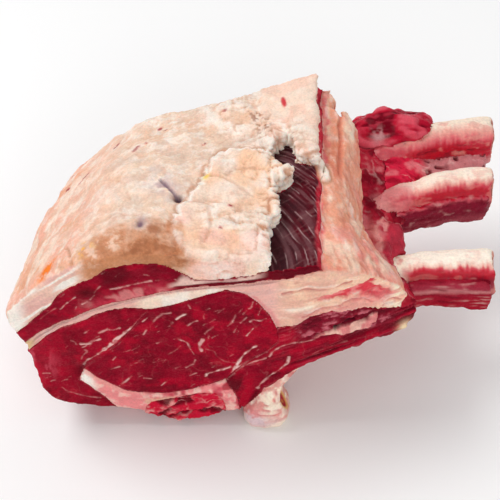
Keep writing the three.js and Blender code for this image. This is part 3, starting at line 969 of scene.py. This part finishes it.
def seam_band(look):
    """The band of fat between the cap muscle and the eye, as the cuts show it."""
    p, paint = look.points, look.paint
    u, w, front, cut = look.u, look.w, look.front, look.cut
    above = above_seam(u, w)
    streak = noise(at(above * 2.2, u * 0.16, look.t * 30), 3, 141)
    look.tone[:] = linear("e9b2a6")
    paint(SILVER, 0.8 * cut, -0.2, 0.6, streak)
    wedge = smooth(-74, -64, u) * smooth(-1, -2.6, above + 0.5 * noise(p, 5, 139)) * smooth(-8, -24, u)
    paint("f0d6c2", wedge * front)
    look.mottle(WHITE_FAT, 0.7 * wedge * front, 0, 0.6, 9, 137, 1)
    bit = np.exp(-((u + 125) / 6) ** 2 - ((w - 94) / 4) ** 2)
    paint("f6d6cc", 1.2 * bit * front)
    thin = smooth(0.6, 0.05, np.abs(above + 2.6 + 0.7 * noise(p, 12, 138))) * smooth(-60, -74, u)
    paint("b4787a", 0.6 * thin * front)
    grey_line = smooth(1.3, 0.2, np.abs(above + 0.9 + 0.5 * noise(p, 6, 142)))
    paint("a87670", 0.75 * grey_line * front, 60, 20, u)
    second = smooth(0.7, 0.1, np.abs(above - 2.2 + 0.6 * noise(p, 9, 143)))
    paint("ba8480", 0.5 * second * front, 60, 20, u)
    heel = smooth(-134, -141, u) * front
    paint("debe8c", heel)
    look.lift += cut * (0.35 * streak + 0.3 * fractal(p, 9, 155, 2)) + 0.15 * fractal(p, 3, 157, 2)


def folded_side(look):
    """The sloping side towards the ribs: folds with painted shade in a groove, strings, blobs of fat, and a
    red fringe at the top.
    """
    p, paint, mottle = look.points, look.paint, look.mottle
    x, y, z = p.T
    open_side = (1 - look.cut) * (look.kind != WALL)
    slope = open_side * smooth(20, 46, x)
    paint("e89e80", slope)
    mottle("ec9686", slope * smooth(150, 118, z), -0.6, 0.5, 18, 145, 2)
    paint("d87452", slope * 0.85 * np.exp(-((y - 14) ** 2 / 420 + (x - 54) ** 2 / 50)))
    folds = smooth(10, 60, y) * slope
    ridge = np.maximum(smooth(5, 1, np.abs(x - 50)), smooth(5, 1, np.abs(x - 67)))
    paint("fae4c8", folds * 0.8 * ridge)
    look.lift += folds * 1.6 * (ridge - 0.4)
    pinkish = slope * smooth(-20, -60, y) * patches(p, -0.3, 0.5, 12, 165)
    paint("ea8c88", 0.6 * pinkish)
    blobs = smudge(p, (66, -20, 141), (0.4, -1, -0.5), 9, 4)
    blobs = slope * (blobs + smudge(p, (73, -41, 130), (0.2, -1, -0.5), 6, 3))
    rounds = billow(p, 5, 166)
    paint("fadece", blobs, 0.3, 0.6, rounds)
    look.lift += 2.2 * blobs * rounds
    mottle("f4d6be", slope * 0.75, 0, 1, 10, 147, 4, (1, 1.4, 1), 0.6)
    mottle("f0b4a0", slope * 0.6, 0, 0.8, 4, 144)
    fringe = open_side * smooth(140, 145, look.w)
    fringe *= smooth(49.5, 46.5, look.u + 2.4 * fractal(p, 7, 136) + 4 * smooth(6, -16, y))
    paint("de5c62", 0.85 * fringe * (0.6 + 0.4 * patches(p, -0.4, 0.4, 5, 133, 1)))
    paint("fae2ce", slope * smudge(p, (50, -24, 150), (0, 1, 0), 3, 2))
    # Painted shade along the groove between the two folds, which the relief also sinks.
    groove_with_painted_shade = slope * smooth(2.4, 0.4, np.abs(x - 58.5 - 0.05 * y + 1.2 * noise(p, 10, 131)))
    groove_with_painted_shade *= smooth(-10, 10, y)
    paint("ce6c52", 0.75 * groove_with_painted_shade)
    look.lift -= 1.8 * groove_with_painted_shade
    paint("ce4654", slope * 0.7, 108, 94, z + 4 * noise(p, 8, 149))
    pleats = fractal(at(x * 0.35, y, z * 0.35), 7, 150)
    deep = smooth(-10, 50, y)
    look.lift += slope * (0.5 + 1.1 * deep) * pleats + slope * 0.8 * fractal(p, 14, 153, 2)
    strings = fractal(at(x + 0.3 * y, y * 0.3, z * 0.45), 3.2, 151)
    mottle(WHITE_FAT, slope * 0.4 * smooth(0.25, 0.8, strings), -0.4, 0.5, 12, 152, 1)
    paint("ce6e58", slope * 0.5, 0.15, 0.9, -strings)
    look.lift += slope * (0.45 * strings + 0.3 * fractal(p, 2.6, 154, 2))


def face_fat(look):
    """The wide fat at the tail side of the front face, with its red tear, creases, threads and a painted
    highlight.
    """
    p, paint, mottle = look.points, look.paint, look.mottle
    u, w, front = look.u, look.w, look.front
    fat = front * smooth(12, 26, u)
    paint("f2c6aa", fat)
    mottle("e6b09c", fat * 0.8, 0, 0.6, 13, 148)
    rim = front * smooth(3.6, 1.2, gap_to(u, w, [(2, 126), (12, 113), (17, 100)]) + 0.7 * noise(p, 4, 134))
    paint("de8a88", 0.8 * rim)
    clear = smooth(16, 6, w - 102 - 0.1 * (u - 20)) * smooth(52, 36, u)
    mottle("d89e94", fat * 0.85 * clear, -0.6, 0.3, 9, 146, 1)
    # A cream spot brightened with a painted highlight.
    gleam = smudge(p, (27, -87, 115), (1, 0, 0.1), 7, 2.5) + smudge(p, (36, -86, 117), (1, 0, 0.2), 5, 1.5)
    paint("fae8d4", fat * gleam)
    torn = inside(u, w, RED_TEAR) + 2.6 * fractal(p, 5, 160, 4, (2.4, 1, 1), 0.65)
    red = look.cut * smooth(-0.8, 2.2, torn)
    paint("e87a7e", 0.8 * look.cut * smooth(-7, 1, torn) * smooth(52, 66, u), 126, 116, w)
    paint("d61e3c", 0.95 * red * (0.55 + 0.45 * smooth(110, 122, w)))
    mottle("f09692", 0.7 * red, 0.05, 0.5, 4.5, 163, stretch=(2.6, 1, 1))
    for line in FACE_CREASES:
        crease = front * smooth(1.1, 0.2, gap_to(u, w, line) + 0.5 * noise(p, 4, 132))
        paint("c46868", 0.7 * crease)
        look.lift -= 0.9 * crease
    lips = front * np.exp(-((u - 60) / 24) ** 2 - ((w - 111) / 4.5) ** 2)
    paint("e6968e", 0.8 * lips)
    tongue = front * smooth(84, 94, u)
    paint("faeace", tongue, -0.2, 0.4, noise(at(u * 0.2, w, 0), 3, 164))
    threads = fractal(at(u * 0.22, w, 0), 2.6, 128)
    paint(WHITE_FAT, fat * 0.45 * (1 - red), 0.3, 0.9, threads)
    paint("ce8076", fat * 0.35, 0.3, 0.9, -threads)
    look.lift += fat * (1.2 * fractal(p, 11, 161) + lips + 0.25 * threads) - 1.2 * red


def dress_seam(look):
    seam_band(look)
    folded_side(look)
    face_fat(look)
    look.wet[:] = 0.5
    hang_tag(look)


def dress_lower_fat(look):
    p, paint = look.points, look.paint
    u, w, front = look.u, look.w, look.front
    soft = fractal(p, 4.5, 170)
    look.tone[:] = linear("ec8c8c")
    paint("f2beb2", 1, -0.1, 0.7, soft)
    look.mottle("cc4254", smooth(-92, -60, u), 0, 0.6, 8, 173, 2)
    paint(WHITE_FAT, front, -98, -106, u)
    paint("eca096", front * 0.8, 3.5, 0.5, gap_to(u, w, [(-106, 56), (-88, 40), (-70, 35)]))
    look.mottle("aa0c28", smooth(-64, -46, u) * 0.85, 0.15, 0.5, 11, 175)
    lozenge = gap_to(u, w, [(-67, 27), (-60, 27.5), (-52, 29)]) + 0.6 * noise(p, 4, 174)
    lozenge = front * smooth(3.2, 2, lozenge)
    paint("e2aa94", lozenge)
    look.lift += 0.4 * soft + 0.5 * fractal(p, 12, 177, 2) + lozenge
    look.wet[:] = 0.6


def dress_chine(look):
    paint = look.paint
    x, z = look.x, look.z
    look.tone[:] = linear("ca1636")
    slanted = at(x + 0.6 * z, look.y, z - 0.4 * x)
    spots = fractal(slanted, 6, 180, 4, (1.7, 1, 0.8), 0.6)
    grain = noise(at(x + 0.5 * z, look.y * 0.15, z * 0.4), 2.5, 182)
    hollows = fractal(slanted, 9, 184, stretch=(1.5, 1, 0.8))
    paint("da6870", 0.75, 0, 0.7, spots)
    paint("e8a89e", 0.6, 0.45, 0.9, spots)
    paint(LEAN_DARK, 0.85, 0.25, 0.6, hollows)
    paint("e2a09c", 0.7 * veins(slanted, 9, 0.1, 185, (1.8, 1, 0.8)))
    paint(SILVER, 0.4 * (1 - look.front), 0.2, 0.7, grain)
    look.lift += 0.9 * spots + 0.3 * grain - 1.6 * smooth(0.25, 0.6, hollows)
    look.wet[:] = 0.65


RIB_MEAT_LINES = [
    (0.8, 0.75, 12.5, 71.5, 15, 77, 19, 81, 24, 83, 29, 84, 35, 84, 41, 85),
    (0.9, 0.85, 25, 70, 24, 65, 21, 61, 17.5, 57, 12.5, 52),
    (0.7, 0.6, -12, 57, -4, 62, 4, 67, 10, 70),
    (0.4, 0.4, 33, 66, 42, 69, 52, 73),
    (0.4, 0.35, 40, 71, 50, 76, 62, 79),
    (1.1, 0.6, 5, 40, 8, 46, 13, 52),
]
FAT_BAND = [(41, 87), (47, 89.5), (54, 90), (61, 90), (69, 89.5), (76, 91), (81, 96)]
BAND_SLIT = [(54, 92.5), (59, 95), (66, 96)]


def torn_collar(look):
    """The hidden sides, and the torn meat round the ribs where they leave the roast."""
    p, paint = look.points, look.paint
    under = (1 - look.cut) * (look.kind != WALL)
    collar = under * smooth(60, 74, look.x)
    film = fractal(p, 12, 195, stretch=(1.5, 1, 1))
    tufts = noise(at(look.x * 0.3, look.y, look.z * 0.5), 3.2, 199)
    torn = fractal(p, 9, 188)
    paint("ba4a56", under * (0.3 + 0.5 * smooth(-0.2, 0.6, film)))
    paint(SILVER, under * (1 - collar) * 0.5, 0.2, 0.7, film)
    paint("be1c36", 0.85 * collar)
    paint("78061c", collar * 0.9, 0.1, 0.5, torn)
    paint("e28286", collar * 0.75 * smooth(0.1, 0.6, -torn), -0.5, 0.3, tufts)
    paint("e8aaa8", collar * 0.55 * veins(p, 9, 0.1, 187, (1, 1.8, 1)))
    ring = np.linalg.norm((p - np.array([97, -14, 98])) * (1, 0.7, 1), axis=1) + 3.5 * fractal(p, 9, 186)
    paint("c83e50", 0.6 * collar, 16, 8, ring)
    paint("eea6a0", 0.7 * collar, 2, 0.4, np.abs(ring - 14))
    look.lift += collar * (2 * smooth(17, 11, ring) - 2 * smooth(9, 4, ring))
    pocket = collar * smudge(p, (84, 12, 112), (0.1, 1, -0.1), 26, 6)
    paint("600214", 0.9 * pocket)
    flap = smudge(p, (84, -12, 108), (0.3, -1, 0), 8, 4)
    paint("f0aaa0", 1.3 * collar * flap)
    look.lift += 0.9 * under * fractal(p, 12, 197) - 3 * pocket
    look.lift += collar * (2.6 * torn + 0.8 * tufts + 2.5 * flap)


def dress_rib_meat(look):
    p, paint = look.points, look.paint
    u, w, front = look.u, look.w, look.front
    cut_lean(look, RIB_MEAT_LINES, LEAN, 0.6)
    body = smooth(8, 22, u) * front
    level = w - (58 + 0.42 * (u - 14) - 0.0016 * (u - 14) ** 2)  # above the underside, along the grain
    grain = noise(at(level * 1.3, u * 0.10, 0), 3.6, 190)
    fine = noise(at(level * 3, u * 0.25, 0), 3, 191)
    paint(LEAN_DARK, 0.8 * body, 0.05, 0.6, grain)
    paint(LEAN_BRIGHT, 0.4 * body, 0.1, 0.6, -grain)
    look.mottle(LEAN_PINK, 0.22 * smooth(0.2, 0.7, fine) * body, -0.4, 0.4, 10, 189, 1)
    bulk = front * smooth(26, 34, u) * smooth(84, 88, w) * smooth(96, 84, u)
    veil = fractal(p, 6, 193, 4, (2, 1, 1), 0.65)
    paint("84162c", 0.8 * bulk)
    paint("ce6e7a", bulk * 0.75, 0.05, 0.6, veil)
    paint("60081a", bulk * 0.8, 0.15, 0.7, -veil)
    band = gap_to(u, w, FAT_BAND) + 0.7 * noise(p, 5, 194)
    half = 0.6 + 2.6 * smooth(46, 58, u) * smooth(84, 74, u)
    cover = front * smooth(half + 0.8, half - 0.4, band)
    paint("e28a88", cover)
    look.mottle("f0bcac", cover, -0.1, 0.5, 4, 196, 1)
    slit = front * smooth(1.6, 0.4, gap_to(u, w, BAND_SLIT))
    paint("340610", 0.95 * slit)
    root = front * smooth(16, 4, u) * smooth(60, 46, w)
    bundles = noise(at(u - 0.25 * w + 0.004 * (w - 40) ** 2, w * 0.1, 0), 3.4, 198)
    paint(LEAN_DARK, root * 0.8, 0.05, 0.5, bundles)
    paint(LEAN_BRIGHT, root * 0.6, 0.05, 0.5, -bundles)
    corner = front * np.exp(-((u - 100) / 4) ** 2 - ((w - 77) / 4) ** 2)
    paint("f6dcb4", 1.1 * corner)
    look.lift += body * (0.3 * fine - smooth(0.2, 0.6, grain)) + bulk * (1.4 * veil - 0.8)
    look.lift += 1.6 * cover - 2.6 * slit + 0.8 * root * bundles
    torn_collar(look)


# Each rib's y at its head and at its tip, the x from which it runs straight, and how far its tip is raised.
RIBS = [
    (-78, -24, 118, 0),
    (-6, 46, 160, 12),
    (38, 89, 160, 20),
]
RIB_LEVEL = 82  # the height of the first rib's middle line, where it is bare
RIB_WIDTH = 27
RIB_THICKNESS = 33
BANDS_FROM = (0, 7, 13)  # how far down each rib its colours start
BONE_BANDS = [  # each rib's colours, from the back edge of its top down its front side
    [
        (0, "fceede"), (17, "fceede"), (22, "f0c4b4"), (25, "d44a58"), (28, "be0826"), (33, "b00a26"),
        (37, "961c30"), (44, "a03042"), (47, "c47a7a"), (50, "96162c"), (57, "9e1228"),
    ],
    [
        (0, "fceedc"), (11, "f8e0ce"), (15, "ecb0a2"), (20, "d04252"), (24, "bc0824"), (31, "ba122c"),
        (34, "c4525e"), (37, "881c32"), (46, "76162a"), (52, "963c48"), (57, "821a2e"),
    ],
    [
        (0, "f6e0cc"), (4, "f2ccba"), (9, "e6a496"), (16, "da6c70"), (21, "c8283e"),
        (26, "ba0222"), (33, "be102e"), (37, "ce8082"), (46, "c89292"), (57, "962836"),
    ],
]
STAINED = (0.25, 0.35, 0.6)  # how strongly blood stains each bare rib
COVERED = (0, 0.75, 0.95)  # how much flesh covers each rib where it leaves the roast


def down_the_rib(look, rib):
    """How far each point lies down the bare rib, from the back edge of its top round to its front side."""
    head, tip, straight, rise = RIBS[rib]
    middle_y = head + (tip - head) * smooth(5, straight, look.x)
    middle_z = RIB_LEVEL + rise * smooth(0, 100, look.x)
    return RIB_WIDTH / 2 + RIB_THICKNESS / 2 - (look.y - middle_y) - (look.z - middle_z)


def rib_colours(look, rib):
    p = look.points
    hatch = noise(at(look.x, look.y * 0.25, look.z * 0.25), 1.5, 200)
    down = down_the_rib(look, rib) - BANDS_FROM[rib]
    down += (2.6 * hatch + 1.8 * noise(p, 9, 201)) * smooth(40, 32, down)
    down += 1.2 * noise(p, 12, 205, (2, 1, 1))
    places = [place for place, _ in BONE_BANDS[rib]]
    colours = np.array([linear(colour) for _, colour in BONE_BANDS[rib]])
    return np.stack([np.interp(down, places, colours[:, i]) for i in range(3)], 1)


def membrane(look, amount):
    """Silvery streaks that run along the ribs, and darker meat between them."""
    along = at(look.x * 0.09, look.y, look.z)
    streak = 0.7 * noise(along, 2.6, 202) + 0.5 * noise(along * (2, 1, 1), 1.3, 192)
    broken = patches(look.points, -0.3, 0.6, 8, 203)
    look.paint(SILVER, amount * 0.55 * broken, 0.2, 0.8, streak)
    look.paint("6a061a", amount * 0.6, 0.2, 0.6, -streak)
    look.lift += amount * 0.45 * streak


def dress_strip(look, rib):
    p = look.points
    look.tone[:] = rib_colours(look, rib)
    low = smooth(34, 38, down_the_rib(look, rib))
    membrane(look, 0.25 + 0.75 * low)
    look.lift += 0.9 * fractal(p, 9, 204, stretch=(1.8, 1, 1)) + 0.3 * fractal(p, 3, 206, 2)
    look.wet[:] = 0.75


def dress_web(look):
    p, paint = look.points, look.paint
    film = fractal(p, 8, 207, stretch=(1.8, 1, 1))
    look.tone[:] = linear("d62242")
    paint("8c021e", 0.7, 0.1, 0.7, -film)
    paint("e48086", 0.75, 0, 0.7, film)
    outer = smooth(116, 128, look.x)
    paint("c88688", 0.85 * outer)
    holes = patches(p, 0.3, 0.55, 4.5, 208, 1, (1.5, 1, 1))
    paint("6e041a", 0.9 * outer * holes)
    paint("ecbeb8", 0.5 * veins(p, 8, 0.09, 209, (1.8, 1, 1)))
    look.lift += 1.4 * film * (1 - outer) - 1.6 * outer * holes + 0.3 * fractal(p, 3, 210, 2)
    look.wet[:] = 0.8


def dress_lump(look):
    p, paint = look.points, look.paint
    x = look.x
    look.tone[:] = linear("b2122e")
    film = fractal(p, 10, 211, stretch=(2, 1, 1))
    fibres = noise(at(x * 0.15, look.y, look.z * 1.2 + 0.2 * x), 2.4, 212)
    paint(LEAN_DARK, 0.8, 0, 0.5, -film)
    paint("dc5a6a", 0.75, 0.05, 0.6, film)
    paint("d63c52", 0.4, 0.1, 0.6, fibres)
    silver = smudge(p, (90, 72, 122), (0.3, 0.2, 1), 9, 5) * patches(p, -0.4, 0.3, 5, 213)
    paint("c68e90", 1.1 * silver)
    paint("f0d6ce", 0.7 * veins(p, 15, 0.04, 215, (2, 1, 1)), 104, 90, x)
    look.lift += 2.4 * film + 1.2 * (billow(p, 14, 214) - 0.5) + 0.5 * fibres
    look.wet[:] = 0.85


def knob(look):
    """The joint knob that shows at the front: gristle, ragged flesh and the marrow in its cut."""
    p, paint, z = look.points, look.paint, look.z
    gristle = smudge(p, (4, -93, 13), (1, 0, 0.1), 12, 9)
    paint("e0c4c8", 1.3 * gristle)
    paint("ce6e7a", 0.8 * smudge(p, (8, -94, 18), (1, 0, -0.25), 7, 1.3))
    fleshy = smooth(54, 44, z) * smooth(8, 16, z) * patches(p, -0.3, 0.4, 6, 226)
    paint("d8706e", 0.75 * fleshy)
    ragged = smudge(p, (14, -90, 24), (0.25, 0, 1), 11, 6) * smooth(0.35, 0.65, billow(p, 4, 223))
    paint("fce8d4", 1.2 * ragged)
    marrow = smudge(p, (24, -84, 26), (0.1, 0, 1), 10, 5)
    paint("e2b068", 1, 0.2, 0.35, marrow)
    paint("aa1628", 1, 0.38, 0.5, marrow)
    look.mottle("ce783c", smooth(0.5, 0.6, marrow), 0.1, 0.4, 2, 224, 1, (1, 1, 3))
    look.lift += 1.6 * ragged - 1.2 * smooth(0.35, 0.6, marrow)


def dress_rib(look, rib):
    p, paint, mottle, x = look.points, look.paint, look.mottle, look.x
    bare = smooth(98, 106, x) if rib == 0 else smooth(92, 104, x)
    look.tone[:] = BONE
    mottle("e8bcae", 1, -0.1, 0.6, 11, 215)
    mottle("ce6062", 0.7, 0.3, 0.8, 7, 216)
    fresh = rib_colours(look, rib)
    low = smooth(33, 38, down_the_rib(look, rib))
    look.tone += bare[:, None] * (fresh - look.tone)
    membrane(look, bare * low)
    stain = patches(p, 0.15, 0.6, 5, 217, stretch=(2, 1, 1)) * bare
    paint("e2968a", stain * STAINED[rib])
    if COVERED[rib]:
        covered = smooth(118, 96, x + 5 * noise(p, 8, 218)) * smooth(70, 80, x)
        paint("c84252", covered * COVERED[rib])
        mottle("e48c8c", covered * 0.6, -0.1, 0.5, 6, 219, stretch=(2, 1, 1))
    tip = smooth(0.6, 0.9, look.normals[:, 0]) * smooth(150, 158, x)
    pores = patches(p, 0.05, 0.5, 2.4, 221, 2)
    paint("d68470", tip)
    paint("822222", 0.9 * tip * pores)
    look.lift += 0.6 * fractal(p, 16, 220, 2) + 0.25 * fractal(p, 5, 222, stretch=(2, 1, 1))
    look.lift -= 0.7 * tip * pores
    if rib == 0:
        knob(look)
    look.wet[:] = 0.5


# ---- Materials ----

def flesh(name, scatter, roughness, coat, gleam, grain, specks=0.0):
    """A moist surface whose colour comes from the piece's tone, with grain, gloss and pits of its own, and
    light specks that are partly fat flecks and partly painted glints.
    """
    material = bpy.data.materials.new(name)
    material.use_nodes = True
    nodes = material.node_tree.nodes

    def feed(node, inputs):
        """Links or sets a node's inputs."""
        for key, value in inputs.items():
            if isinstance(value, bpy.types.NodeSocket):
                material.node_tree.links.new(value, node.inputs[key])
            else:
                node.inputs[key].default_value = value

    def outputs(kind, inputs, **settings):
        node = nodes.new("ShaderNode" + kind)
        for key, value in settings.items():
            setattr(node, key, value)
        feed(node, inputs)
        return node.outputs

    place = outputs("TexCoord", {})["Object"]
    tone = outputs("Attribute", {}, attribute_name="tone")["Color"]
    wet = outputs("Attribute", {}, attribute_name="wet")["Fac"]

    def grainy(scale, detail, rough=0.6):
        inputs = {"Vector": place, "Scale": scale, "Detail": detail, "Roughness": rough}
        return outputs("TexNoise", inputs)["Fac"]

    def ramp(source, low, high, out_low, out_high):
        inputs = {"Value": source, "From Min": low, "From Max": high, "To Min": out_low, "To Max": out_high}
        return outputs("MapRange", inputs)["Result"]

    def maths(operation, *values):
        return outputs("Math", dict(enumerate(values)), operation=operation)["Value"]

    def blend(kind, factor, a, b):
        inputs = {"Factor": factor, "A": a, "B": b}
        return outputs("Mix", inputs, data_type="RGBA", blend_type=kind)["Result"]

    fine = grainy(grain, 4)
    coarse = grainy(grain / 6, 3)
    shade = maths("MULTIPLY", ramp(fine, 0.25, 0.75, 0.86, 1.14), ramp(coarse, 0.3, 0.7, 0.93, 1.07))
    grey = outputs("CombineColor", {"Red": shade, "Green": shade, "Blue": shade})["Color"]
    colour = blend("MULTIPLY", 1, tone, grey)
    # Light specks mixed into the colour: partly fat flecks, partly painted glints.
    if specks:
        fleck_and_glint = ramp(grainy(grain * 2.2, 2, 0.7), 0.66, 0.74, 0, specks)
        colour = blend("MIX", fleck_and_glint, colour, (0.75, 0.42, 0.40, 1))
    gloss = maths("MULTIPLY_ADD", wet, -0.3, roughness + 0.15)
    pits = outputs("TexVoronoi", {"Vector": place, "Scale": grain * 0.8})["Distance"]
    height = maths("ADD", fine, ramp(pits, 0, 0.8, 0, 0.35))
    bump = outputs("Bump", {"Height": height, "Strength": 0.35, "Distance": 0.5 * MM})["Normal"]
    feed(nodes["Principled BSDF"], {
        "Base Color": colour,
        "Roughness": maths("ADD", gloss, ramp(fine, 0.3, 0.7, -0.08, 0.08)),
        "Normal": bump,
        "Coat Normal": bump,
        "Subsurface Weight": scatter,
        "Subsurface Radius": (1, 0.35, 0.25),
        "Subsurface Scale": 2.5 * MM,
        "Coat Weight": coat,
        "Coat Roughness": 0.18,
        "Specular IOR Level": gleam,
    })
    return material


MATERIALS = {
    "cap_fat": flesh("dry_fat", 0.25, 0.62, 0, 0.2, 700),
    "soft_fat": flesh("moist_fat", 0.3, 0.5, 0.03, 0.25, 700),
    "lean_meat": flesh("lean", 0.05, 0.34, 0, 0.04, 900, 0.1),
    "dark_meat": flesh("dark_lean", 0.05, 0.4, 0, 0.04, 900, 0.1),
    "bone": flesh("bone", 0.2, 0.5, 0.03, 0.25, 600),
}


# ---- Making the pieces ----

class Plan(NamedTuple):
    """How a node's piece is made."""

    dress: Callable
    slot: str = "lean_meat"
    voxel: float = 1.15  # the width of its faces, in millimetres
    rounding: int = 2  # how many steps of smoothing its open rims get
    finest: tuple = (FRONT,)  # the kinds of surface with the finest mesh


PLANS = {
    "fat_cap": Plan(dress_fat_cap, "cap_fat", 1.0, 12),
    "cap_muscle": Plan(dress_cap_muscle, "dark_meat", finest=(FRONT, SKIN)),
    "seam_fat": Plan(dress_seam, "soft_fat", rounding=4),
    "eye_muscle": Plan(dress_eye),
    "side_muscle": Plan(dress_side),
    "lower_fat": Plan(dress_lower_fat, "soft_fat"),
    "chine_trim": Plan(dress_chine),
    "rib_meat": Plan(dress_rib_meat),
    "web": Plan(dress_web, voxel=0.7),
    "lump": Plan(dress_lump, voxel=0.7, rounding=10),
}
for rib in range(3):
    PLANS[f"rib_{rib + 1}"] = Plan(partial(dress_rib, rib=rib), "bone", 0.8, finest=())
for rib in range(2):
    PLANS[f"strip_{rib + 1}"] = Plan(partial(dress_strip, rib=rib), voxel=0.75)


def make(node):
    plan = PLANS[node]
    piece = dense_copy(node, plan.voxel)
    skin = Skin(piece)
    kind = kinds_of(skin, node)
    settle(skin, kind, plan.rounding)
    kind = thin_out(skin, kind)
    close_gaps(skin, kind)
    skin.write()
    kind = refine(skin, kind, np.isin(kind, plan.finest))
    skin.points = warp(skin.points)
    look = Look(skin, kind)
    plan.dress(look)
    look.finish()
    skin.crisp(kind == WALL)
    piece.data.materials.append(MATERIALS[plan.slot])
    piece.data.shade_smooth()
    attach(piece, "root")
    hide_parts(node)


for node in sorted(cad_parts):
    make(node)


# ---- Floor, light and camera ----

def aim(thing, place, target):
    thing.location = place
    thing.rotation_euler = (Vector(target) - Vector(place)).to_track_quat("-Z", "Y").to_euler()


def area_light(name, place, size, power):
    light = bpy.data.lights.new(name, "AREA")
    light.size = size
    light.energy = power
    aim(added(name, light), place, (0, 0, MIDDLE))


FLOOR = 4  # half the width of the floor, in metres
floor_mesh = bpy.data.meshes.new("floor")
corners = [(x * FLOOR, y * FLOOR, 0) for x, y in ((-1, -1), (1, -1), (1, 1), (-1, 1))]
floor_mesh.from_pydata(corners, [], [(0, 1, 2, 3)])
floor = added("floor", floor_mesh)
pale = bpy.data.materials.new("pale_floor")
pale.use_nodes = True
pale.node_tree.nodes["Principled BSDF"].inputs["Base Color"].default_value = (0.97, 0.97, 0.97, 1)
pale.node_tree.nodes["Principled BSDF"].inputs["Roughness"].default_value = 0.9
floor_mesh.materials.append(pale)

world = bpy.data.worlds.new("studio")
world.use_nodes = True
world.node_tree.nodes["Background"].inputs["Color"].default_value = (1, 1, 1, 1)
world.node_tree.nodes["Background"].inputs["Strength"].default_value = 0.45
bpy.context.scene.world = world
MIDDLE = 0.08  # the height that the lights and the camera aim at, in metres
area_light("key", (-0.7, 0.1, 1.1), 0.6, 8)
area_light("front", (0.35, -1.3, 0.75), 0.8, 7)
area_light("back", (0.5, 0.9, 0.9), 0.8, 3)

camera = added("camera", bpy.data.cameras.new("camera"))
camera.data.lens = 100
camera.data.sensor_width = 36
ELEVATION = math.radians(45)
DISTANCE = 0.945
target = Vector((SHIFT[0] * MM, SHIFT[1] * MM, MIDDLE))
aim(camera, target + DISTANCE * Vector((0, -math.cos(ELEVATION), math.sin(ELEVATION))), target)
bpy.context.scene.camera = camera
bpy.context.scene.view_settings.view_transform = "Standard"
